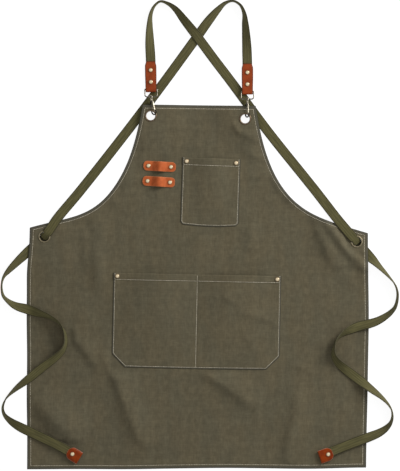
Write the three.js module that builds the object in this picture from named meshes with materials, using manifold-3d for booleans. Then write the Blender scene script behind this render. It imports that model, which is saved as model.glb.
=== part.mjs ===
// A cross-back work apron of canvas, laid out flat on its back with its webbing straps around it.
// Millimetres. X runs across the apron, Y up towards the bib, Z up off the surface it lies on.
import * as THREE from "three";
import { mergeVertices } from "three/addons/utils/BufferGeometryUtils.js";
import Module from "manifold-3d";

const wasm = await Module();
wasm.setup();

// Stock thicknesses and the clearance between pieces
const gap = 0.3;
const canvas = 1.2;
const leather = 1.8;
const webbing = { width: 20, thick: 1.6, stepsPerRow: 3 };

// Main panel, measured flat: v up from the bottom hem, u out from the centre line
const panel = { length: 750, halfSkirt: 350, halfBib: 117, sideHeight: 492, hem: 10, hemFold: 1.2 };
const panelTop = panel.hemFold + canvas;
const panelGrid = { skirtRows: 15, bibRows: 10, columns: 20, bibCrowding: 1.5 };

// How the armhole leaves the bib corner and how it runs into the side
const armhole = { bibReach: 230, bibLean: 0.15, sideReach: 105, sideLean: 0.3 };

// Where the panel lies, and how it lies slightly out of square
const lay = { x: -6.3, y: -482.7, lean: 0.0069, tilt: 0.0125 };

// Corners propped up by what passes under them: level to radius, then sloping down over the fall
const props = [
  { x: -109, y: 256, radius: 40, fall: 55, height: 6.2 },
  { x: 106, y: 253, radius: 40, fall: 55, height: 6.2 },
  { x: -334, y: -15, radius: 43, fall: 60, height: 3.4 },
  { x: 333, y: -23, radius: 43, fall: 60, height: 3.4 },
];
const bibProp = props[0].height;
const sideProp = props[2].height;

// Soft folds of the cloth: a ridge from one point to another, highest half way
const folds = [
  { fromX: 230, fromY: 26, toX: 269, toY: -56, width: 62, height: 5 },
  { fromX: 286, fromY: -40, toX: 315, toY: -118, width: 55, height: 4 },
  { fromX: -231, fromY: 6, toX: -214, toY: -114, width: 66, height: 5 },
  { fromX: -189, fromY: -292, toX: -123, toY: -461, width: 66, height: 6 },
  { fromX: 11, fromY: -304, toX: 110, toY: -366, width: 60, height: 5 },
  { fromX: 189, fromY: -325, toX: 166, toY: -455, width: 66, height: 5 },
  { fromX: 138, fromY: 194, toX: 70, toY: 188, width: 40, height: 3 },
  { fromX: -340, fromY: -352, toX: -264, toY: -418, width: 44, height: 3 },
];

// Patch pockets, sewn down along the sides, the bottom and any seam, open at the top
const pockets = [
  {
    name: "chest_pocket", u: 24.6, v: 503, width: 120, height: 136, chamfer: 0, turn: -1.5,
    bays: 1, swell: 9, columns: 8, rows: 7, margin: 15, rivetIn: 9, rivetDown: 8,
  },
  {
    name: "lower_pocket", u: -2.5, v: 207, width: 346, height: 192, chamfer: 27, turn: -0.8,
    bays: 2, swell: 10, columns: 14, rows: 7, margin: 15, rivetIn: 8, rivetDown: 7,
  },
];

// Leather loops on the bib, arched in the middle and riveted at both ends
const penLoop = {
  length: 67, width: 20.5, corner: 8, rise: 8.5, archHalf: 16, rivetSpacing: 46.5, sections: 6,
};
const penLoops = [
  { name: "pen_loop_upper", u: -80.5, v: 623, turn: -3.2 },
  { name: "pen_loop_lower", u: -82.2, v: 591.5, turn: -3.7 },
];

// Brass eyelets; level is how far the cloth is propped up there
const eyelet = { hole: 10, barrel: 10.9, flange: 13.3, lip: 0.9, sides: 12 };
const eyelets = [
  { name: "grommet_bib_left", x: -102.5, y: 245.6, level: bibProp },
  { name: "grommet_bib_right", x: 93.6, y: 239.4, level: bibProp },
  { name: "grommet_side_left", x: -320.6, y: -3.8, level: sideProp },
  { name: "grommet_side_right", x: 324.1, y: -14.1, level: sideProp },
];

// Rivets: a flat washer behind, a shank, and a domed cap in front
const rivetSize = { washer: 3.8, washerThick: 0.8, shank: 1.8, cap: 4.4, capEdge: 0.8, dome: 2.2, sides: 9 };
const rivetHole = rivetSize.shank + gap;
const holeSides = 8;

// Leather tabs: folded over the end of a strap and round a wire ring
const tab = {
  length: 64, width: 22, rivets: [-17.3, -42], ringAt: -53, flatTo: -47, ringGap: 3, bottom: 1.95,
};
const ring = { inside: 22.8, wire: 1.2, reach: 20.5, corner: 5, sides: 6, arcSteps: 3 };
const tabs = [
  { side: "left", x: -101.3, y: 358.2, turn: 0.9, hookYaw: 8, hookRoll: 24 },
  { side: "right", x: 98.6, y: 353.4, turn: 0, hookYaw: -2, hookRoll: 15 },
];

// Snap hooks, drawn with the eye at the origin, the bend down -Y and the gate on the upper side
const hook = {
  eye: 4.2, eyeWire: 1.2, wire: 1.3, bend: 8, bendAt: 30.5, noseBack: 3, neckTo: 9, neckHalf: 2,
  pivotAt: 9.5, pivotUp: 2.6, pin: 0.7, cheek: 2.3, cheekThick: 1, gateTo: 30, gateTipUp: 5.2, gateHalf: 1,
  gateWidth: 2.6, slack: 1.4, arcSteps: 4, wireSteps: 20, eyeSides: 6, eyeSteps: 14,
};

// Leather ends of the straps: folded over the strap's end, rounded where they lie on the strap
const tip = { length: 29, width: 27, corner: 12, rivetAt: 16, foldRadius: 2, washerRoom: 1.1 };
const tips = [
  { name: "tip_left", x: -248, y: -461, turn: 59 },
  { name: "tip_right", x: 246.5, y: -458, turn: -70 },
];

// Strap routes along the middle of the webbing. Lift is the height of what it lies on, and roll its
// bank in degrees: the right edge, seen along the route, goes up for plus and the left for minus.
const overPanel = panelTop + gap;
const overRim = sideProp + panelTop + 2 * gap + eyelet.lip;
const inTab = tab.bottom + leather + gap;
const inTip = overPanel + tip.washerRoom + leather + gap;
const leftRoute = [
  { x: -100.6, y: 312, lift: inTab, roll: 0 },
  { x: -101, y: 357, lift: inTab, roll: 0 },
  { x: -103, y: 398, lift: 0.5, roll: -18 },
  { x: -103, y: 431, lift: 0, roll: -48 },
  { x: -100, y: 456, lift: 0, roll: -66 },
  { x: -92, y: 473, lift: 0, roll: -78 },
  { x: -81, y: 481, lift: 0, roll: -82 },
  { x: -67, y: 477, lift: 0, roll: -72 },
  { x: -51, y: 466, lift: 0.5, roll: -50 },
  { x: -32, y: 443, lift: 2, roll: -22 },
  { x: -5, y: 409, lift: 2.2, roll: 0 },
  { x: 30, y: 362, lift: 0.4, roll: 0 },
  { x: 62, y: 320, lift: 0, roll: 0 },
  { x: 142, y: 212, lift: 0, roll: 0 },
  { x: 238, y: 92, lift: 0.5, roll: 0 },
  { x: 286, y: 30, lift: 6.3, roll: 0 },
  { x: 309, y: 3, lift: overRim + 0.2, roll: 0 },
  { x: 319.5, y: -9, lift: overRim, roll: 0 },
  { x: 328.7, y: -19.2, lift: 0.1, roll: 0 },
  { x: 337, y: -29, lift: 0, roll: 0 },
  { x: 349, y: -43, lift: 0, roll: 0 },
  { x: 369, y: -60, lift: 0, roll: -40 },
  { x: 389, y: -82, lift: 0, roll: -64 },
  { x: 402, y: -106, lift: 0, roll: -80 },
  { x: 408, y: -129, lift: 0, roll: -84 },
  { x: 401, y: -149, lift: 0, roll: -62 },
  { x: 381, y: -170, lift: 1, roll: -40 },
  { x: 352, y: -181, lift: overPanel, roll: -10 },
  { x: 323, y: -188, lift: overPanel, roll: 5 },
  { x: 298, y: -199, lift: overPanel, roll: 28 },
  { x: 282, y: -213, lift: overPanel, roll: 64 },
  { x: 277, y: -230, lift: overPanel, roll: 84 },
  { x: 285, y: -251, lift: overPanel, roll: 62 },
  { x: 304, y: -275, lift: overPanel, roll: 26 },
  { x: 347, y: -312, lift: overPanel, roll: -5 },
  { x: 372, y: -332, lift: 0.8, roll: -48 },
  { x: 389, y: -350, lift: 0, roll: -73 },
  { x: 398, y: -372, lift: 0, roll: -84 },
  { x: 391, y: -391, lift: 0.3, roll: -54 },
  { x: 372, y: -405.5, lift: 1.8, roll: -26 },
  { x: 350, y: -416.5, lift: overPanel, roll: -6 },
  { x: 277, y: -445.5, lift: inTip, roll: 0 },
  { x: 251.5, y: -456.2, lift: inTip, roll: 0 },
];
const rightRoute = [
  { x: 98.6, y: 307, lift: inTab, roll: 0 },
  { x: 98.4, y: 353, lift: inTab, roll: 0 },
  { x: 97, y: 394, lift: 0.5, roll: 16 },
  { x: 94, y: 435, lift: 0, roll: 45 },
  { x: 91, y: 458, lift: 0, roll: 66 },
  { x: 83, y: 474, lift: 0, roll: 77 },
  { x: 69, y: 482, lift: 0, roll: 82 },
  { x: 54, y: 478, lift: 0, roll: 72 },
  { x: 38, y: 464, lift: 0, roll: 48 },
  { x: 19, y: 442, lift: 0, roll: 18 },
  { x: -5, y: 409, lift: 0, roll: 0 },
  { x: -72, y: 317, lift: 0, roll: 0 },
  { x: -151, y: 212, lift: 0, roll: 0 },
  { x: -247, y: 90, lift: 0.5, roll: 0 },
  { x: -295, y: 32, lift: 6.3, roll: 0 },
  { x: -307.5, y: 13, lift: overRim + 0.2, roll: 0 },
  { x: -315.7, y: 2, lift: overRim, roll: 0 },
  { x: -325.2, y: -8.8, lift: 0.1, roll: 0 },
  { x: -334, y: -17, lift: 0, roll: 0 },
  { x: -357, y: -37, lift: 0, roll: 0 },
  { x: -383, y: -60, lift: 0, roll: 38 },
  { x: -400, y: -76, lift: 0, roll: 54 },
  { x: -407, y: -91, lift: 0, roll: 77 },
  { x: -408, y: -107, lift: 0, roll: 84 },
  { x: -403, y: -128, lift: 0, roll: 54 },
  { x: -387, y: -143, lift: 1, roll: 34 },
  { x: -357, y: -153, lift: overPanel, roll: 8 },
  { x: -330, y: -163, lift: overPanel, roll: -6 },
  { x: -301, y: -175, lift: overPanel, roll: -44 },
  { x: -282, y: -192, lift: overPanel, roll: -68 },
  { x: -275, y: -213, lift: overPanel, roll: -76 },
  { x: -288, y: -241, lift: overPanel, roll: -52 },
  { x: -319, y: -268, lift: overPanel, roll: -15 },
  { x: -354, y: -298, lift: overPanel, roll: 5 },
  { x: -383, y: -319, lift: 0.8, roll: 48 },
  { x: -400, y: -336, lift: 0, roll: 75 },
  { x: -407, y: -356, lift: 0, roll: 84 },
  { x: -403, y: -372, lift: 0, roll: 66 },
  { x: -387, y: -387, lift: 1, roll: 40 },
  { x: -354, y: -405, lift: overPanel, roll: 6 },
  { x: -284, y: -439, lift: inTip, roll: 0 },
  { x: -252.5, y: -458, lift: inTip, roll: 0 },
];

// Where the webbing is gathered to go through a side eyelet
const gather = { narrowing: 6.8, reach: 13 };

// Finishes
function finish(color, roughness, metalness) {
  return new THREE.MeshStandardMaterial({ color, roughness, metalness });
}
const canvasFinish = finish(0x5c5644, 0.92, 0);
const webbingFinish = finish(0x5e5a3a, 0.9, 0);
const tabFinish = finish(0x904424, 0.55, 0);
const loopFinish = finish(0xa85530, 0.55, 0);
const brassFinish = finish(0xd8c49a, 0.35, 1);
const steelFinish = finish(0xb9b4a2, 0.35, 1);

const apron = new THREE.Group();
const radians = THREE.MathUtils.degToRad;
const smooth = THREE.MathUtils.smoothstep;
const mapLinear = THREE.MathUtils.mapLinear;

// Merges shared corners, drops slivers at poles and turns the faces outwards
function closed(geometry) {
  const bare = geometry.clone();
  bare.deleteAttribute("normal");
  bare.deleteAttribute("uv");
  const merged = mergeVertices(bare, 1e-4);
  const position = merged.attributes.position;
  const corners = [new THREE.Vector3(), new THREE.Vector3(), new THREE.Vector3()];
  const index = merged.index.array;
  const kept = [];
  let volume = 0;
  for (let i = 0; i < index.length; i += 3) {
    const [a, b, c] = [index[i], index[i + 1], index[i + 2]];
    if (a === b || b === c || c === a) continue;
    corners[0].fromBufferAttribute(position, a);
    corners[1].fromBufferAttribute(position, b);
    corners[2].fromBufferAttribute(position, c);
    volume += corners[0].dot(corners[1].clone().cross(corners[2]));
    kept.push(a, b, c);
  }
  if (volume < 0) kept.reverse();
  merged.setIndex(kept);
  return merged;
}

function solid(geometry) {
  const body = closed(geometry);
  const vertProperties = new Float32Array(body.attributes.position.array);
  const triVerts = new Uint32Array(body.index.array);
  return new wasm.Manifold(new wasm.Mesh({ numProp: 3, vertProperties, triVerts }));
}

function faceted(body) {
  const mesh = body.getMesh();
  const geometry = new THREE.BufferGeometry();
  geometry.setAttribute("position", new THREE.BufferAttribute(mesh.vertProperties, 3));
  geometry.setIndex(new THREE.BufferAttribute(mesh.triVerts, 1));
  return geometry;
}

function addPiece(parent, name, geometry, material) {
  const mesh = new THREE.Mesh(closed(geometry), material);
  mesh.name = name;
  parent.add(mesh);
  return mesh;
}

// Joins rings of points into one closed skin, with flat ends unless the rings come round again
function skin(rings, looped = false) {
  const sides = rings[0].length;
  const points = rings.flat().flatMap((point) => [point.x, point.y, point.z]);
  const index = [];
  const last = looped ? rings.length : rings.length - 1;
  for (let i = 0; i < last; i++) {
    const next = (i + 1) % rings.length;
    for (let j = 0; j < sides; j++) {
      const k = (j + 1) % sides;
      index.push(i * sides + j, next * sides + j, next * sides + k);
      index.push(i * sides + j, next * sides + k, i * sides + k);
    }
  }
  const end = (rings.length - 1) * sides;
  for (let j = 1; j < sides - 1 && !looped; j++) {
    index.push(0, j, j + 1);
    index.push(end, end + j + 1, end + j);
  }
  const geometry = new THREE.BufferGeometry();
  geometry.setAttribute("position", new THREE.Float32BufferAttribute(points, 3));
  geometry.setIndex(index);
  return geometry;
}

// A cloth sheet over a grid of columns and rows, between an under face and an upper face
function sheet(columns, rows, under, over) {
  const faces = [under, over];
  const points = [];
  for (const face of faces) {
    for (let i = 0; i <= rows; i++) {
      for (let j = 0; j <= columns; j++) points.push(...face(i, j).toArray());
    }
  }
  const layer = (rows + 1) * (columns + 1);
  const at = (side, i, j) => side * layer + i * (columns + 1) + j;
  const index = [];
  const quad = (a, b, c, d) => index.push(a, b, c, a, c, d);
  for (let i = 0; i < rows; i++) {
    for (let j = 0; j < columns; j++) {
      quad(at(1, i, j), at(1, i, j + 1), at(1, i + 1, j + 1), at(1, i + 1, j));
      quad(at(0, i, j), at(0, i + 1, j), at(0, i + 1, j + 1), at(0, i, j + 1));
    }
    quad(at(0, i, 0), at(1, i, 0), at(1, i + 1, 0), at(0, i + 1, 0));
    quad(at(0, i, columns), at(0, i + 1, columns), at(1, i + 1, columns), at(1, i, columns));
  }
  for (let j = 0; j < columns; j++) {
    quad(at(0, 0, j), at(0, 0, j + 1), at(1, 0, j + 1), at(1, 0, j));
    quad(at(0, rows, j), at(1, rows, j), at(1, rows, j + 1), at(0, rows, j + 1));
  }
  const geometry = new THREE.BufferGeometry();
  geometry.setAttribute("position", new THREE.Float32BufferAttribute(points, 3));
  geometry.setIndex(index);
  return geometry;
}

// An upright round peg, for cutting holes
function peg(x, y, radius, sides) {
  const height = 60;
  const geometry = new THREE.CylinderGeometry(radius, radius, height, sides);
  return solid(geometry.rotateX(Math.PI / 2).translate(x, y, 0));
}

function withHoles(geometry, holes) {
  let body = solid(geometry);
  for (const { x, y, radius, sides } of holes) body = body.subtract(peg(x, y, radius, sides));
  return faceted(body);
}

// A turned piece from a profile of radius and height
function turned(profile, sides) {
  const points = profile.map(([radius, height]) => new THREE.Vector2(radius, height));
  return new THREE.LatheGeometry(points, sides).rotateX(Math.PI / 2);
}

// From flat panel measurements to where that point lies
function laid(u, v) {
  const x = lay.x + u + lay.lean * v;
  const y = lay.y + v - (lay.tilt * u * v) / panel.length;
  return new THREE.Vector2(x, y);
}

// Height of the cloth above its lying level: the highest prop, plus the folds
function rise(x, y) {
  const prop = (p) => p.height * (1 - smooth(Math.hypot(x - p.x, y - p.y), p.radius, p.radius + p.fall));
  let height = Math.max(...props.map(prop));
  for (const fold of folds) {
    const along = new THREE.Vector2(fold.toX - fold.fromX, fold.toY - fold.fromY);
    const length = along.length();
    along.normalize();
    const [dx, dy] = [x - fold.fromX, y - fold.fromY];
    const share = (dx * along.x + dy * along.y) / length;
    const aside = Math.abs(dx * along.y - dy * along.x) / (fold.width / 2);
    if (share <= 0 || share >= 1 || aside >= 1) continue;
    height += fold.height * Math.sin(Math.PI * share) * Math.cos((Math.PI / 2) * aside) ** 2;
  }
  return height;
}

const sideCorner = new THREE.Vector2(panel.halfSkirt, panel.sideHeight);
const bibCorner = new THREE.Vector2(panel.halfBib, panel.length);
const armholeCurve = new THREE.CubicBezierCurve(
  sideCorner,
  new THREE.Vector2(-1, armhole.sideLean).multiplyScalar(armhole.sideReach).add(sideCorner),
  new THREE.Vector2(armhole.bibLean, -1).multiplyScalar(armhole.bibReach).add(bibCorner),
  bibCorner,
);
const armholePoints = armholeCurve.getPoints(80);

// Half the panel's width at a height, from the armhole curve above the side corner
function halfWidth(v) {
  if (v <= panel.sideHeight) return panel.halfSkirt;
  const after = armholePoints.findIndex((point) => point.y >= v - 1e-6);
  const [a, b] = [armholePoints[Math.max(after - 1, 0)], armholePoints[after]];
  return mapLinear(v, a.y, b.y, a.x, b.x);
}

// How far in the hem's inner edge lies, measured across
function hemAcross(v) {
  if (v <= panel.sideHeight) return panel.hem;
  const slope = halfWidth(Math.min(v + 1, panel.length)) - halfWidth(v);
  return panel.hem * Math.hypot(1, slope);
}

function panelRows() {
  const rows = [0];
  for (let i = 0; i <= panelGrid.skirtRows; i++) {
    rows.push(panel.hem + ((panel.sideHeight - panel.hem) * i) / panelGrid.skirtRows);
  }
  const bib = panel.length - panel.hem - panel.sideHeight;
  for (let i = 1; i <= panelGrid.bibRows; i++) {
    rows.push(panel.sideHeight + bib * (i / panelGrid.bibRows) ** panelGrid.bibCrowding);
  }
  rows.push(panel.length);
  return rows;
}

function apronBody(holes) {
  const rows = panelRows();
  const last = panelGrid.columns;
  const across = (i, j) => {
    const half = halfWidth(rows[i]);
    if (j === 0) return -half;
    if (j === last) return half;
    const inner = half - hemAcross(rows[i]);
    return mapLinear(j, 1, last - 1, -inner, inner);
  };
  const inHem = (i, j) => i <= 1 || i >= rows.length - 2 || j <= 1 || j >= last - 1;
  const face = (i, j, level) => {
    const place = laid(across(i, j), rows[i]);
    return new THREE.Vector3(place.x, place.y, rise(place.x, place.y) + level);
  };
  const under = (i, j) => face(i, j, inHem(i, j) ? 0 : panel.hemFold);
  const over = (i, j) => face(i, j, panelTop);
  return withHoles(sheet(last, rows.length - 1, under, over), holes);
}

// A place on a pocket: p out from its middle and q up from its bottom edge
function pocketPlace(pocket, p, q) {
  const middle = pocket.height / 2;
  const spot = new THREE.Vector2(p, q - middle).rotateAround(new THREE.Vector2(), radians(pocket.turn));
  return laid(pocket.u + spot.x, pocket.v + middle + spot.y);
}

function pocketPiece(pocket, holes) {
  const last = pocket.columns;
  const swell = (j, q) => {
    const inBay = (((j - 1) * pocket.bays) / (last - 2)) % 1;
    const across = Math.sin(Math.PI * inBay) ** 0.9;
    const upwards = Math.sin((Math.PI / 2) * (q / pocket.height)) ** 0.8;
    return pocket.swell * across * upwards;
  };
  const face = (i, j, level) => {
    const q = (pocket.height * i) / pocket.rows;
    const half = pocket.width / 2 - Math.max(0, pocket.chamfer - q);
    const inner = half - pocket.margin;
    const outer = j === 0 || j === last;
    const p = outer ? half * Math.sign(j - 1) : mapLinear(j, 1, last - 1, -inner, inner);
    const place = pocketPlace(pocket, p, q);
    const stand = outer ? 0 : swell(j, q);
    return new THREE.Vector3(place.x, place.y, overPanel + stand + level);
  };
  const hemmed = (i) => i === pocket.rows;
  const under = (i, j) => face(i, j, 0);
  const over = (i, j) => face(i, j, hemmed(i) ? 2 * canvas : canvas);
  return withHoles(sheet(last, pocket.rows, under, over), holes);
}

// A flat strip bent along a path of distance and height, with its width across
function strip(path, widthAt, thick) {
  const points = path.map(([along, height]) => new THREE.Vector2(along, height));
  const rings = points.map((point, i) => {
    const before = points[Math.max(i - 1, 0)];
    const after = points[Math.min(i + 1, points.length - 1)];
    const ahead = after.clone().sub(before).normalize();
    const normal = new THREE.Vector2(-ahead.y, ahead.x).multiplyScalar(thick / 2);
    const half = widthAt(point.x, i) / 2;
    return [
      new THREE.Vector3(-half, point.x + normal.x, point.y + normal.y),
      new THREE.Vector3(half, point.x + normal.x, point.y + normal.y),
      new THREE.Vector3(half, point.x - normal.x, point.y - normal.y),
      new THREE.Vector3(-half, point.x - normal.x, point.y - normal.y),
    ];
  });
  return skin(rings);
}

// Width of a strip that ends in rounded corners, a distance in from its end
function roundedWidth(width, corner, fromEnd) {
  if (fromEnd >= corner) return width;
  const short = corner - Math.sqrt(corner ** 2 - (corner - fromEnd) ** 2);
  return width - 2 * short;
}

// Distances in from a rounded end at which the outline needs a section
const roundSteps = (corner) => [0.02, 0.15, 0.45, 1].map((share) => share * corner);

function penLoopPiece() {
  const half = penLoop.length / 2;
  const level = panelTop + gap + leather / 2;
  const ends = roundSteps(penLoop.corner).map((step) => half - step);
  const arch = [];
  for (let i = -penLoop.sections; i <= penLoop.sections; i++) {
    const along = (penLoop.archHalf * i) / penLoop.sections;
    arch.push([along, level + penLoop.rise * Math.cos((Math.PI / 2) * (along / penLoop.archHalf)) ** 2]);
  }
  const path = [...ends.map((end) => [-end, level]), ...arch, ...ends.reverse().map((end) => [end, level])];
  const widthAt = (along) => roundedWidth(penLoop.width, penLoop.corner, half - Math.abs(along));
  const rivetAt = penLoop.rivetSpacing / 2;
  const holes = [-rivetAt, rivetAt].map((y) => ({ x: 0, y, radius: rivetHole, sides: holeSides }));
  return withHoles(strip(path, widthAt, leather), holes);
}

// Washer from its back up to the leather, shank through the stack, domed cap on the front
function rivetPiece(back, front) {
  const washerTop = back + rivetSize.washerThick;
  const profile = [
    [0, back],
    [rivetSize.washer, back],
    [rivetSize.washer, washerTop],
    [rivetSize.shank, washerTop],
    [rivetSize.shank, front],
    [rivetSize.cap, front],
    [rivetSize.cap, front + rivetSize.capEdge],
    [rivetSize.cap * 0.62, front + rivetSize.dome * 0.85],
    [0, front + rivetSize.dome],
  ];
  return turned(profile, rivetSize.sides);
}

function eyeletPiece(level) {
  const bottom = level - gap - eyelet.lip;
  const top = level + panelTop + gap + eyelet.lip;
  const profile = [
    [eyelet.hole, bottom],
    [eyelet.flange, bottom],
    [eyelet.flange, bottom + eyelet.lip],
    [eyelet.barrel, bottom + eyelet.lip],
    [eyelet.barrel, top - eyelet.lip],
    [eyelet.flange, top - eyelet.lip],
    [eyelet.flange - 0.7, top],
    [eyelet.hole + 0.4, top],
    [eyelet.hole, bottom],
  ];
  return turned(profile, eyelet.sides);
}

// Points round a fold that faces down the strip, from the lower layer to the upper one
function foldRound(at, low, high) {
  const radius = (high - low) / 2;
  return [30, 60, 90, 120, 150].map((angle) => {
    const turn = radians(angle);
    return [at - radius * Math.sin(turn), (low + high) / 2 - radius * Math.cos(turn)];
  });
}

const tabBack = tab.bottom + leather / 2;
const tabFront = inTab + webbing.thick + gap + leather / 2;
const ringFront = tabBack + leather + tab.ringGap;
const ringLevel = (tabBack + ringFront) / 2;

function tabPiece() {
  const foldAt = -tab.length + (ringFront - tabBack) / 2 + leather / 2;
  const path = [
    [0, tabBack],
    [foldAt, tabBack],
    ...foldRound(foldAt, tabBack, ringFront),
    [foldAt, ringFront],
    [tab.flatTo - 5, ringFront],
    [tab.flatTo, tabFront],
    [0, tabFront],
  ];
  const holes = tab.rivets.map((y) => ({ x: 0, y, radius: rivetHole, sides: holeSides }));
  return withHoles(strip(path, () => tab.width, leather), holes);
}

// A wire ring with one straight bar in the tab and rounded corners at the far bar
function ringPiece(length) {
  const half = ring.inside / 2 + ring.wire;
  const outline = new THREE.Shape();
  outline.moveTo(-half, -1);
  outline.lineTo(-half, -length + ring.corner);
  outline.absarc(-half + ring.corner, -length + ring.corner, ring.corner, Math.PI, 1.5 * Math.PI);
  outline.lineTo(half - ring.corner, -length);
  outline.absarc(half - ring.corner, -length + ring.corner, ring.corner, 1.5 * Math.PI, 2 * Math.PI);
  outline.lineTo(half, -1);
  outline.lineTo(half - 1, 0);
  outline.lineTo(1 - half, 0);
  outline.lineTo(-half, -1);
  const raw = outline.getPoints(ring.arcSteps);
  const points = raw.filter((point, i) => i === 0 || point.distanceTo(raw[i - 1]) > 0.01).slice(0, -1);
  const rings = points.map((point, i) => {
    const before = points[(i + points.length - 1) % points.length];
    const after = points[(i + 1) % points.length];
    const ahead = after.clone().sub(before).normalize();
    const out = new THREE.Vector3(ahead.y, -ahead.x, 0);
    const circle = [];
    for (let j = 0; j < ring.sides; j++) {
      const angle = (2 * Math.PI * j) / ring.sides;
      const spot = out.clone().multiplyScalar(ring.wire * Math.cos(angle));
      circle.push(spot.add(new THREE.Vector3(point.x, point.y, ring.wire * Math.sin(angle))));
    }
    return circle;
  });
  return skin(rings, true);
}

// A plate lying in the hook's own plane, of a given thickness across
function acrossPlate(shape, thick) {
  const settings = { depth: thick, bevelEnabled: false, curveSegments: hook.arcSteps };
  const geometry = new THREE.ExtrudeGeometry(shape, settings);
  const toHookPlane = new THREE.Matrix4().makeBasis(
    new THREE.Vector3(0, -1, 0),
    new THREE.Vector3(0, 0, 1),
    new THREE.Vector3(-1, 0, 0),
  );
  return geometry.translate(0, 0, -thick / 2).applyMatrix4(toHookPlane);
}

function disc(along, up, radius) {
  const shape = new THREE.Shape();
  shape.absarc(along, up, radius, 0, 2 * Math.PI);
  return shape;
}

function bar(fromAlong, toAlong, fromUp, toUp) {
  const shape = new THREE.Shape();
  shape.moveTo(fromAlong, fromUp);
  shape.lineTo(toAlong, fromUp);
  shape.lineTo(toAlong, toUp);
  shape.lineTo(fromAlong, toUp);
  shape.closePath();
  return shape;
}

function hookPiece() {
  const route = [];
  const spine = [[hook.neckTo - 1.5, -1], [9, -4.4], [11.5, -6.8], [16, -7.8], [24, -hook.bend]];
  for (const [along, up] of spine) route.push(new THREE.Vector3(0, -along, up));
  for (let angle = -90; angle <= 90; angle += 30) {
    const turn = radians(angle);
    const along = hook.bendAt + hook.bend * Math.cos(turn);
    route.push(new THREE.Vector3(0, -along, hook.bend * Math.sin(turn)));
  }
  route.push(new THREE.Vector3(0, -(hook.bendAt - hook.noseBack), hook.bend));
  const section = new THREE.Shape();
  section.absarc(0, 0, hook.wire, 0, 2 * Math.PI);
  const extrudePath = new THREE.CatmullRomCurve3(route);
  const wire = new THREE.ExtrudeGeometry(section, {
    extrudePath, steps: hook.wireSteps, curveSegments: hook.arcSteps, bevelEnabled: false,
  });
  const eye = new THREE.TorusGeometry(hook.eye, hook.eyeWire, hook.eyeSides, hook.eyeSteps);
  eye.rotateY(Math.PI / 2);
  const cheekSpan = hook.gateWidth + 2 * gap + 2 * hook.cheekThick;
  const slotSpan = hook.gateWidth + 2 * gap;
  const neck = acrossPlate(bar(hook.eye, hook.neckTo, -hook.neckHalf, hook.neckHalf), 2 * hook.neckHalf);
  const cheeks = acrossPlate(disc(hook.pivotAt, hook.pivotUp, hook.cheek), cheekSpan);
  const slot = acrossPlate(disc(hook.pivotAt, hook.pivotUp, hook.cheek + 2 * gap), slotSpan);
  const pin = acrossPlate(disc(hook.pivotAt, hook.pivotUp, hook.pin), cheekSpan - 0.4);
  const body = solid(neck).add(solid(cheeks)).subtract(solid(slot));
  return faceted(body.add(solid(wire)).add(solid(eye)).add(solid(pin)));
}

// The gate: a flat lever, round at its pivot, that shuts against the underside of the nose
function gatePiece() {
  const shape = new THREE.Shape();
  const end = hook.cheek - 0.4;
  shape.absarc(hook.pivotAt, hook.pivotUp, end, 0.5 * Math.PI, 1.4 * Math.PI);
  shape.lineTo(hook.pivotAt + 3, hook.pivotUp - 0.6);
  shape.lineTo(hook.gateTo, hook.gateTipUp - 2 * hook.gateHalf);
  shape.lineTo(hook.gateTo, hook.gateTipUp);
  shape.closePath();
  const bore = acrossPlate(disc(hook.pivotAt, hook.pivotUp, hook.pin + gap), 2 * hook.gateWidth);
  return faceted(solid(acrossPlate(shape, hook.gateWidth)).subtract(solid(bore)));
}

function tipPiece() {
  const back = overPanel + tip.washerRoom + leather / 2;
  const front = back + 2 * tip.foldRadius;
  const foldAt = tip.foldRadius + leather / 2;
  const stops = roundSteps(tip.corner).map((step) => tip.length - step);
  const path = [
    ...stops.map((stop) => [stop, back]),
    [foldAt, back],
    ...foldRound(foldAt, back, front),
    [foldAt, front],
    ...stops.reverse().map((stop) => [stop, front]),
  ];
  const widthAt = (along) => roundedWidth(tip.width, tip.corner, tip.length - along);
  const holes = [{ x: 0, y: tip.rivetAt, radius: rivetHole, sides: holeSides }];
  return withHoles(strip(path, widthAt, leather), holes);
}

// Webbing along a route: each section is banked by its roll and rests its lower edge on its lift
function strapPiece(route, eyeletAt, holes) {
  const line = new THREE.CatmullRomCurve3(route.map((row) => new THREE.Vector3(row.x, row.y, row.lift)));
  const steps = (route.length - 1) * webbing.stepsPerRow;
  const stations = [];
  for (let i = 0; i <= steps; i++) {
    const row = Math.min(Math.floor(i / webbing.stepsPerRow), route.length - 2);
    const share = smooth(i / webbing.stepsPerRow - row, 0, 1);
    const roll = radians(THREE.MathUtils.lerp(route[row].roll, route[row + 1].roll, share));
    const centre = line.getPoint(i / steps);
    const fromEyelet = Math.hypot(centre.x - eyeletAt.x, centre.y - eyeletAt.y);
    const width = webbing.width - gather.narrowing * Math.exp(-((fromEyelet / gather.reach) ** 2));
    const depth = width * Math.abs(Math.sin(roll)) + webbing.thick * Math.cos(roll);
    centre.z = Math.max(centre.z, 0) + depth / 2;
    stations.push({ centre, roll, width });
  }
  const rings = stations.map(({ centre, roll, width }, i) => {
    const before = stations[Math.max(i - 1, 0)].centre;
    const after = stations[Math.min(i + 1, steps)].centre;
    const ahead = after.clone().sub(before).normalize();
    const side = new THREE.Vector3(ahead.y, -ahead.x, 0).normalize();
    const up = side.clone().cross(ahead);
    const across = side.clone().multiplyScalar(Math.cos(roll)).addScaledVector(up, Math.sin(roll));
    const normal = across.clone().cross(ahead).multiplyScalar(webbing.thick / 2);
    const half = across.multiplyScalar(width / 2);
    return [
      centre.clone().sub(half).add(normal),
      centre.clone().add(half).add(normal),
      centre.clone().add(half).sub(normal),
      centre.clone().sub(half).sub(normal),
    ];
  });
  return withHoles(skin(rings), holes);
}

// Panel, pockets and the rivets at the pocket mouths
const rivetBack = panel.hemFold - gap - rivetSize.washerThick;
const panelHoles = eyelets.map(({ x, y }) => ({ x, y, radius: eyelet.barrel + gap, sides: eyelet.sides }));

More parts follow.
